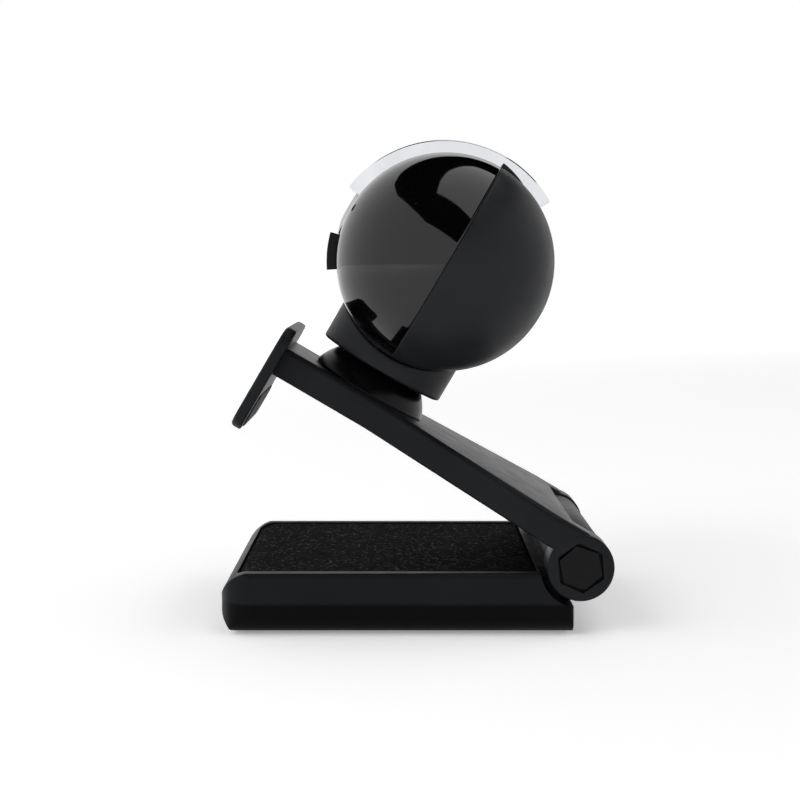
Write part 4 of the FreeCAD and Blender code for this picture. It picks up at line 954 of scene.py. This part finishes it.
class WEBCAM_OT_arm(bpy.types.Operator):
    """Arm with its hinge discs, hexagonal caps and lip"""

    bl_idname = "webcam.arm"
    bl_label = "Arm"

    def execute(self, context):
        arm = context.scene.webcam_arm
        base = context.scene.webcam_base
        top = base.disc
        under = top - arm.thickness
        lip_x = SWIVEL_X - arm.lip_from_swivel
        half = arm.width / 2
        inner = HALF_WIDTH - base.disc_width
        tucked = HALF_WIDTH - 0.1
        lower = [(lip_x - 1.5, -half), (-arm.taper_start, -half), (-arm.taper_end, -HALF_WIDTH),
                 (-0.5, -tucked), (-0.5, -inner - 0.1), (-3.0, -inner - 0.1)]
        corners = lower + [(x, -y) for x, y in lower[::-1]]
        radii = [1.0, 6.0, 2.0, 1.0, 1.0, 0.3, 0.3, 1.0, 1.0, 2.0, 6.0, 1.0]
        outline = corner_arcs(corners, radii, 14)
        insets, levels = edge_profile(under, top, 0.5, arm.edge)
        plate = surface("arm", [(on_arm(slab_rows(outline, insets, levels)), "flat")])
        cut(plate, on_arm(rod_cutter(base.disc, (0, 0, 0), "y", -inner, inner, 96)))
        for side in (-1, 1):
            start, end = side * (HALF_WIDTH - base.hex_depth - 0.05), side * (HALF_WIDTH + 2)
            cut(plate, on_arm(rod_cutter(arm.cap_room, (0, 0, 0), "y", start, end, 96)))
        well = rod_cutter(arm.well_cover, (SWIVEL_X, 0, 0), "z", under - 1.0, under + arm.well_depth, 96)
        cut(plate, on_arm(well))
        settle(plate, "arm", ["arm_plate"], soft_touch)
        for label, side in (("left", -1), ("right", 1)):
            disc = surface("disc_" + label, [(self.disc(base, side), "ring")])
            settle(disc, "arm", [], soft_touch)
        caps = surface("hexagon_caps", [(self.cap(base, side), "flat") for side in (-1, 1)], 25.0)
        settle(caps, "arm", ["hinge_caps"], satin_plastic)
        low = under - arm.lip_drop
        high = top + arm.lip_rise
        plan = rounded_box(low, high, -arm.lip_width / 2, arm.lip_width / 2, arm.lip_corner)
        insets, levels = edge_profile(lip_x - arm.lip_thickness, lip_x, 0.6, 0.35)
        lip = swap(slab_rows(plan, insets, levels), (2, 1, 0))
        lip = surface("lip", [(on_arm(lip), "flat")])
        settle(lip, "arm", [], soft_touch)
        bottom = low + arm.pad_margin
        corner = arm.lip_corner - arm.pad_margin
        plan = rounded_box(bottom, bottom + arm.pad_length, -arm.pad_half, arm.pad_half, corner)
        insets, levels = edge_profile(lip_x - 0.3, lip_x + 0.2, 0.05, 0.2)
        pad = surface("lip_grip", [(on_arm(swap(slab_rows(plan, insets, levels), (2, 1, 0))), "flat")])
        settle(pad, "arm", ["lip_pad"], rubber)
        return {"FINISHED"}

    def hexagon(self, corner):
        """Distance from the middle to a hexagon's side, right round: the flat's distance over the
        cosine of the angle from the nearest flat's middle, with corners cut a little short."""
        angle = np.linspace(0, 2 * math.pi, 2 * STEPS, endpoint=False)
        flat = corner * math.cos(math.pi / 6)
        off = np.mod(angle, math.pi / 3) - math.pi / 6
        return np.minimum(flat / np.cos(off), corner * 0.985)

    def about_hinge(self, rows, side, lead):
        """Rows turned about the hinge axis, with their heights measured outwards on one side."""
        return on_arm(swap(lathe_rows(rows, lead=lead), (0, 2, 1)) * np.array([1, side, 1]))

    def disc(self, base, side):
        """A disc on the hinge axis, with soft edges and a six-sided recess in its outer face."""
        inner = HALF_WIDTH - base.disc_width
        floor = HALF_WIDTH - base.hex_depth
        bore = 1.5
        inner_in, inner_up = quarter(0.2)
        face_down, face_in = quarter(0.45)
        rows = [(bore, inner)] + list(zip(base.disc - inner_in, inner + inner_up))
        rows += list(zip(base.disc - face_in, HALF_WIDTH - face_down))
        hexagon = self.hexagon(base.hex_recess)
        rows += [(hexagon + 0.1, HALF_WIDTH), (hexagon, HALF_WIDTH - 0.08)]
        rows += [(hexagon, floor), (bore, floor)]
        return self.about_hinge(rows, side, 5)

    def cap(self, base, side):
        """A six-sided cap with soft edges and a shallow round dish in its face."""
        hexagon = self.hexagon(base.hex_cap)
        floor = HALF_WIDTH - base.hex_depth
        top = floor + base.hex_thickness
        dish, dish_depth = 1.9, 0.25
        rows = [(hexagon, floor), (hexagon, top - 0.15)]
        rows += [(hexagon - 0.05, top - 0.04), (hexagon - 0.18, top)]
        rows += [(r, top - dish_depth * (1 - (r / dish) ** 2)) for r in np.linspace(dish, 0.05, 12)]
        return self.about_hinge(rows, side, 12)


class WEBCAM_OT_base(bpy.types.Operator):
    """Foam pad on the base and the rubber sheet beneath it"""

    bl_idname = "webcam.base"
    bl_label = "Base pads"

    def execute(self, context):
        base = context.scene.webcam_base
        edge = base.pad_edge + base.pad_gap
        low_x = BASE_FRONT + edge
        high_x = BASE_REAR - base.pad_rear - base.pad_gap
        plan = rounded_box(low_x, high_x, edge - HALF_WIDTH, HALF_WIDTH - edge,
                           base.corner - edge, 5 * STEPS, base.rear_corner)
        deck = base.height - base.pad_depth
        middle = np.array([(low_x + high_x) / 2, 0])
        rows = [np.column_stack([plan, np.full(len(plan), deck)])]
        for gap, drop in ((0.0, 0.45), (0.02, 0.25), (0.1, 0.1), (0.3, 0.02)):
            line = inset(plan, gap)
            rows.append(np.column_stack([line, self.top(base, line) - drop]))
        line = inset(plan, 0.3)
        for part in np.linspace(1, 0.004, 90)[1:]:
            ring = middle + (line - middle) * part
            rows.append(np.column_stack([ring, self.top(base, ring)]))
        pad = surface("foam_pad", [(np.stack(rows), "flat")], 60.0)
        settle(pad, "base", ["base_top_pad"], foam)
        edge = base.cover_edge + base.sheet_edge
        plan = rounded_box(BASE_FRONT + edge, BASE_REAR - base.cover_rear - base.sheet_edge,
                           edge - HALF_WIDTH, HALF_WIDTH - edge, base.rear_corner, 5 * STEPS)
        insets, levels = edge_profile(0.0, base.sheet, 0.25, 0.1)
        sheet = surface("grip", [(slab_rows(plan, insets, levels), "flat")])
        cut(sheet, rod_cutter(base.sheet_hole, (INSERT_X, 0, 0), "z", -1.0, 2.0, 96))
        settle(sheet, "base", ["base_grip_sheet"], rubber)
        return {"FINISHED"}

    def top(self, base, line):
        """The pad's face: the base's top, a quarter ellipse down towards the front, less the gap and a
        further 0.02 mm, with slow ripples 0.02 mm high."""
        ahead = np.clip((BASE_FRONT + base.front_run - line[:, 0]) / base.front_run, 0, 1)
        round_front = base.front_drop * (1 - np.sqrt(1 - ahead**2))
        ripple = 0.02 * np.sin(line[:, 0] * 0.9 + 1.3) * np.sin(line[:, 1] * 0.7)
        return base.height - round_front - base.pad_gap + ripple - 0.02


FINISHES = {
    "soft_black_plastic": soft_touch, "matt_black_plastic": matt_plastic,
    "gloss_black_plastic": piano_black, "white_plastic": connector_plastic,
    "clear_plastic": clear_plastic, "black_rubber": rubber, "foam_pad": foam, "pom": acetal,
    "brass": machined_brass, "steel": zinc_steel, "black_metal": black_metal, "chrome": plated,
    "satin_silver": anodised, "glass": lens_glass, "circuit_board": board, "chip_black": chip_plastic,
    "flat_cable": flat_cable,
}
OWN_FINISHES = {"base_tray": base_plastic_painted_shade}
WHITE = (1.0, 1.0, 1.0, 1.0)


class WEBCAM_OT_carried_parts(bpy.types.Operator):
    """Finishes and softened edges for the parts carried over from the frame"""

    bl_idname = "webcam.carried_parts"
    bl_label = "Carried parts"

    def execute(self, context):
        for entry in frame["record"]["subparts"]:
            finish = OWN_FINISHES.get(entry["node"], FINISHES[entry["material_slot"]])
            self.dress(frame["nodes"][entry["node"]], finished(finish))
        return {"FINISHED"}

    def dress(self, part, finish):
        """Material on every slot; loose triangles are joined and edges over 30 degrees softened."""
        part.data.materials.clear()
        part.data.materials.append(finish)
        weld = part.modifiers.new("join", "WELD")
        weld.merge_threshold = 2e-6
        soft = part.modifiers.new("soft edges", "BEVEL")
        soft.width = (0.2 if part.name == "base_tray" else 0.08) / MM
        soft.segments = 2
        soft.limit_method = "ANGLE"
        soft.angle_limit = math.radians(30)
        soft.harden_normals = False


class WEBCAM_OT_stage(bpy.types.Operator):
    """Floor, lights and camera"""

    bl_idname = "webcam.stage"
    bl_label = "Stage"

    def execute(self, context):
        colours = context.scene.webcam_colours
        world = bpy.data.worlds.new("pale surroundings")
        context.scene.world = world
        world.use_nodes = True
        background = world.node_tree.nodes["Background"]
        background.inputs["Color"].default_value = WHITE
        paper, tree, shader, place = start_material(
            "matt_paper_backdrop", [("Specular IOR Level", 0.0), ("Emission Strength", 0.28)])
        shader.inputs["Emission Color"].default_value = WHITE
        tint(tree, shader, noise(tree, place, 0.8, 3.0), linear(colours.backdrop), linear("FFFFFF"))
        gloss(tree, shader, noise(tree, place, 5.0), 0.85, 1.0)
        wide, low = 1.5, -1e-4
        corners = [(-wide, -wide, low), (wide, -wide, low), (wide, wide, low), (-wide, wide, low)]
        self.panel("floor", corners, paper)
        lamp = bpy.data.lights.new("softbox", "AREA")
        lamp.shape = "RECTANGLE"
        lamp.size = 0.5
        lamp.size_y = 0.5
        lamp.energy = 2.0
        light = bpy.data.objects.new("softbox", lamp)
        light.location = (-0.5, -0.6, 0.6)
        light.rotation_euler = (math.radians(50), 0, math.radians(-40))
        light.visible_glossy = False
        context.scene.collection.objects.link(light)
        self.card()
        lens = bpy.data.cameras.new("camera")
        lens.sensor_width = 36.0
        lens.lens = 76.2
        lens.clip_start = 0.01
        lens.clip_end = 20.0
        camera = bpy.data.objects.new("camera", lens)
        # The view is from the side, a little above the object and looking down at its middle.
        along, distance, eye_height, aim_height = -0.00232, 0.26, 0.0526, 0.0314
        camera.location = (along, -distance, eye_height)
        camera.rotation_euler = (math.atan2(distance, eye_height - aim_height), 0, 0)
        context.scene.collection.objects.link(camera)
        context.scene.camera = camera
        context.scene.view_settings.view_transform = "Standard"
        return {"FINISHED"}

    def panel(self, name, corners, material):
        """A flat piece of the stage."""
        mesh = bpy.data.meshes.new(name)
        mesh.from_pydata(corners, [], [list(range(len(corners)))])
        piece = bpy.data.objects.new(name, mesh)
        bpy.context.scene.collection.objects.link(piece)
        mesh.materials.append(material)

    def card(self):
        """A black card overhead, out of view, whose reflection shapes the glossy half, and the
        diffuser set into it."""
        felt, tree, shader, place = start_material("black_felt", [("Specular IOR Level", 0.0)])
        tint(tree, shader, noise(tree, place, 20.0), linear("030303"), linear("060606"))
        glow, tree, shader, place = start_material(
            "diffuser", [("Emission Strength", 1.3), ("Specular IOR Level", 0.0)])
        shader.inputs["Emission Color"].default_value = WHITE
        tint(tree, shader, noise(tree, place, 60.0), linear("101010"), linear("141414"))
        height = 0.45
        across = float(HEAD[0] / MM)
        up = float(HEAD[2] / MM) + height
        # Corners of both outlines, in heights of the card above the head.
        card = [(0.5, 1.91), (0.29, 1.69), (0.1, 1.39), (-0.09, 1.23), (-0.29, 1.02), (-0.47, 0.79),
                (-0.65, 0.46), (-0.72, 0.05), (-0.64, -0.44), (-0.52, -1.08), (0.58, -2.89),
                (1.2, -2.89), (1.2, 2.07), (0.68, 2.07)]
        opening = [(0.65, 0.81), (0.32, 0.7), (0.2, 0.55), (0.04, 0.28), (-0.06, 0.01), (-0.13, -0.28),
                   (0.6, -0.96)]
        for name, outline, level, material in (("overhead_card", card, up, felt),
                                               ("overhead_diffuser", opening, up - 0.01, glow)):
            self.panel(name, [(across + x * height, y * height, level) for x, y in outline], material)


class WEBCAM_PT_sidebar(bpy.types.Panel):
    """Lists the steps and the sizes"""

    bl_label = "Webcam"
    bl_idname = "WEBCAM_PT_sidebar"
    bl_space_type = "VIEW_3D"
    bl_region_type = "UI"
    bl_category = "Webcam"

    def draw(self, context):
        layout = self.layout
        for operator in OPERATORS:
            layout.operator(operator.bl_idname)
        for name in GROUPS:
            group = getattr(context.scene, name)
            box = layout.box()
            for key in group.__annotations__:
                box.prop(group, key)


GROUPS = {"webcam_base": WebcamBaseSizes, "webcam_arm": WebcamArmSizes, "webcam_head": WebcamHeadSizes,
          "webcam_colours": WebcamColours}
OPERATORS = (WEBCAM_OT_stage, WEBCAM_OT_carried_parts, WEBCAM_OT_base, WEBCAM_OT_arm, WEBCAM_OT_swivel,
             WEBCAM_OT_front_shell, WEBCAM_OT_rear_shell, WEBCAM_OT_band, WEBCAM_OT_lens,
             WEBCAM_OT_shutter)


def register():
    """Registers the classes and hangs the sizes on the scene."""
    for group in GROUPS.values():
        bpy.utils.register_class(group)
    for name, group in GROUPS.items():
        setattr(bpy.types.Scene, name, bpy.props.PointerProperty(type=group))
    for operator in OPERATORS:
        bpy.utils.register_class(operator)
    bpy.utils.register_class(WEBCAM_PT_sidebar)


def unregister():
    """Takes them away again."""
    bpy.utils.unregister_class(WEBCAM_PT_sidebar)
    for operator in OPERATORS:
        bpy.utils.unregister_class(operator)
    for name in GROUPS:
        delattr(bpy.types.Scene, name)
    for group in GROUPS.values():
        bpy.utils.unregister_class(group)


def main():
    """Builds everything in order."""
    register()
    bpy.ops.webcam.stage()
    bpy.ops.webcam.carried_parts()
    bpy.ops.webcam.base()
    bpy.ops.webcam.arm()
    bpy.ops.webcam.swivel()
    bpy.ops.webcam.front_shell()
    bpy.ops.webcam.rear_shell()
    bpy.ops.webcam.band()
    bpy.ops.webcam.lens()
    bpy.ops.webcam.shutter()


if __name__ == "__main__":
    main()
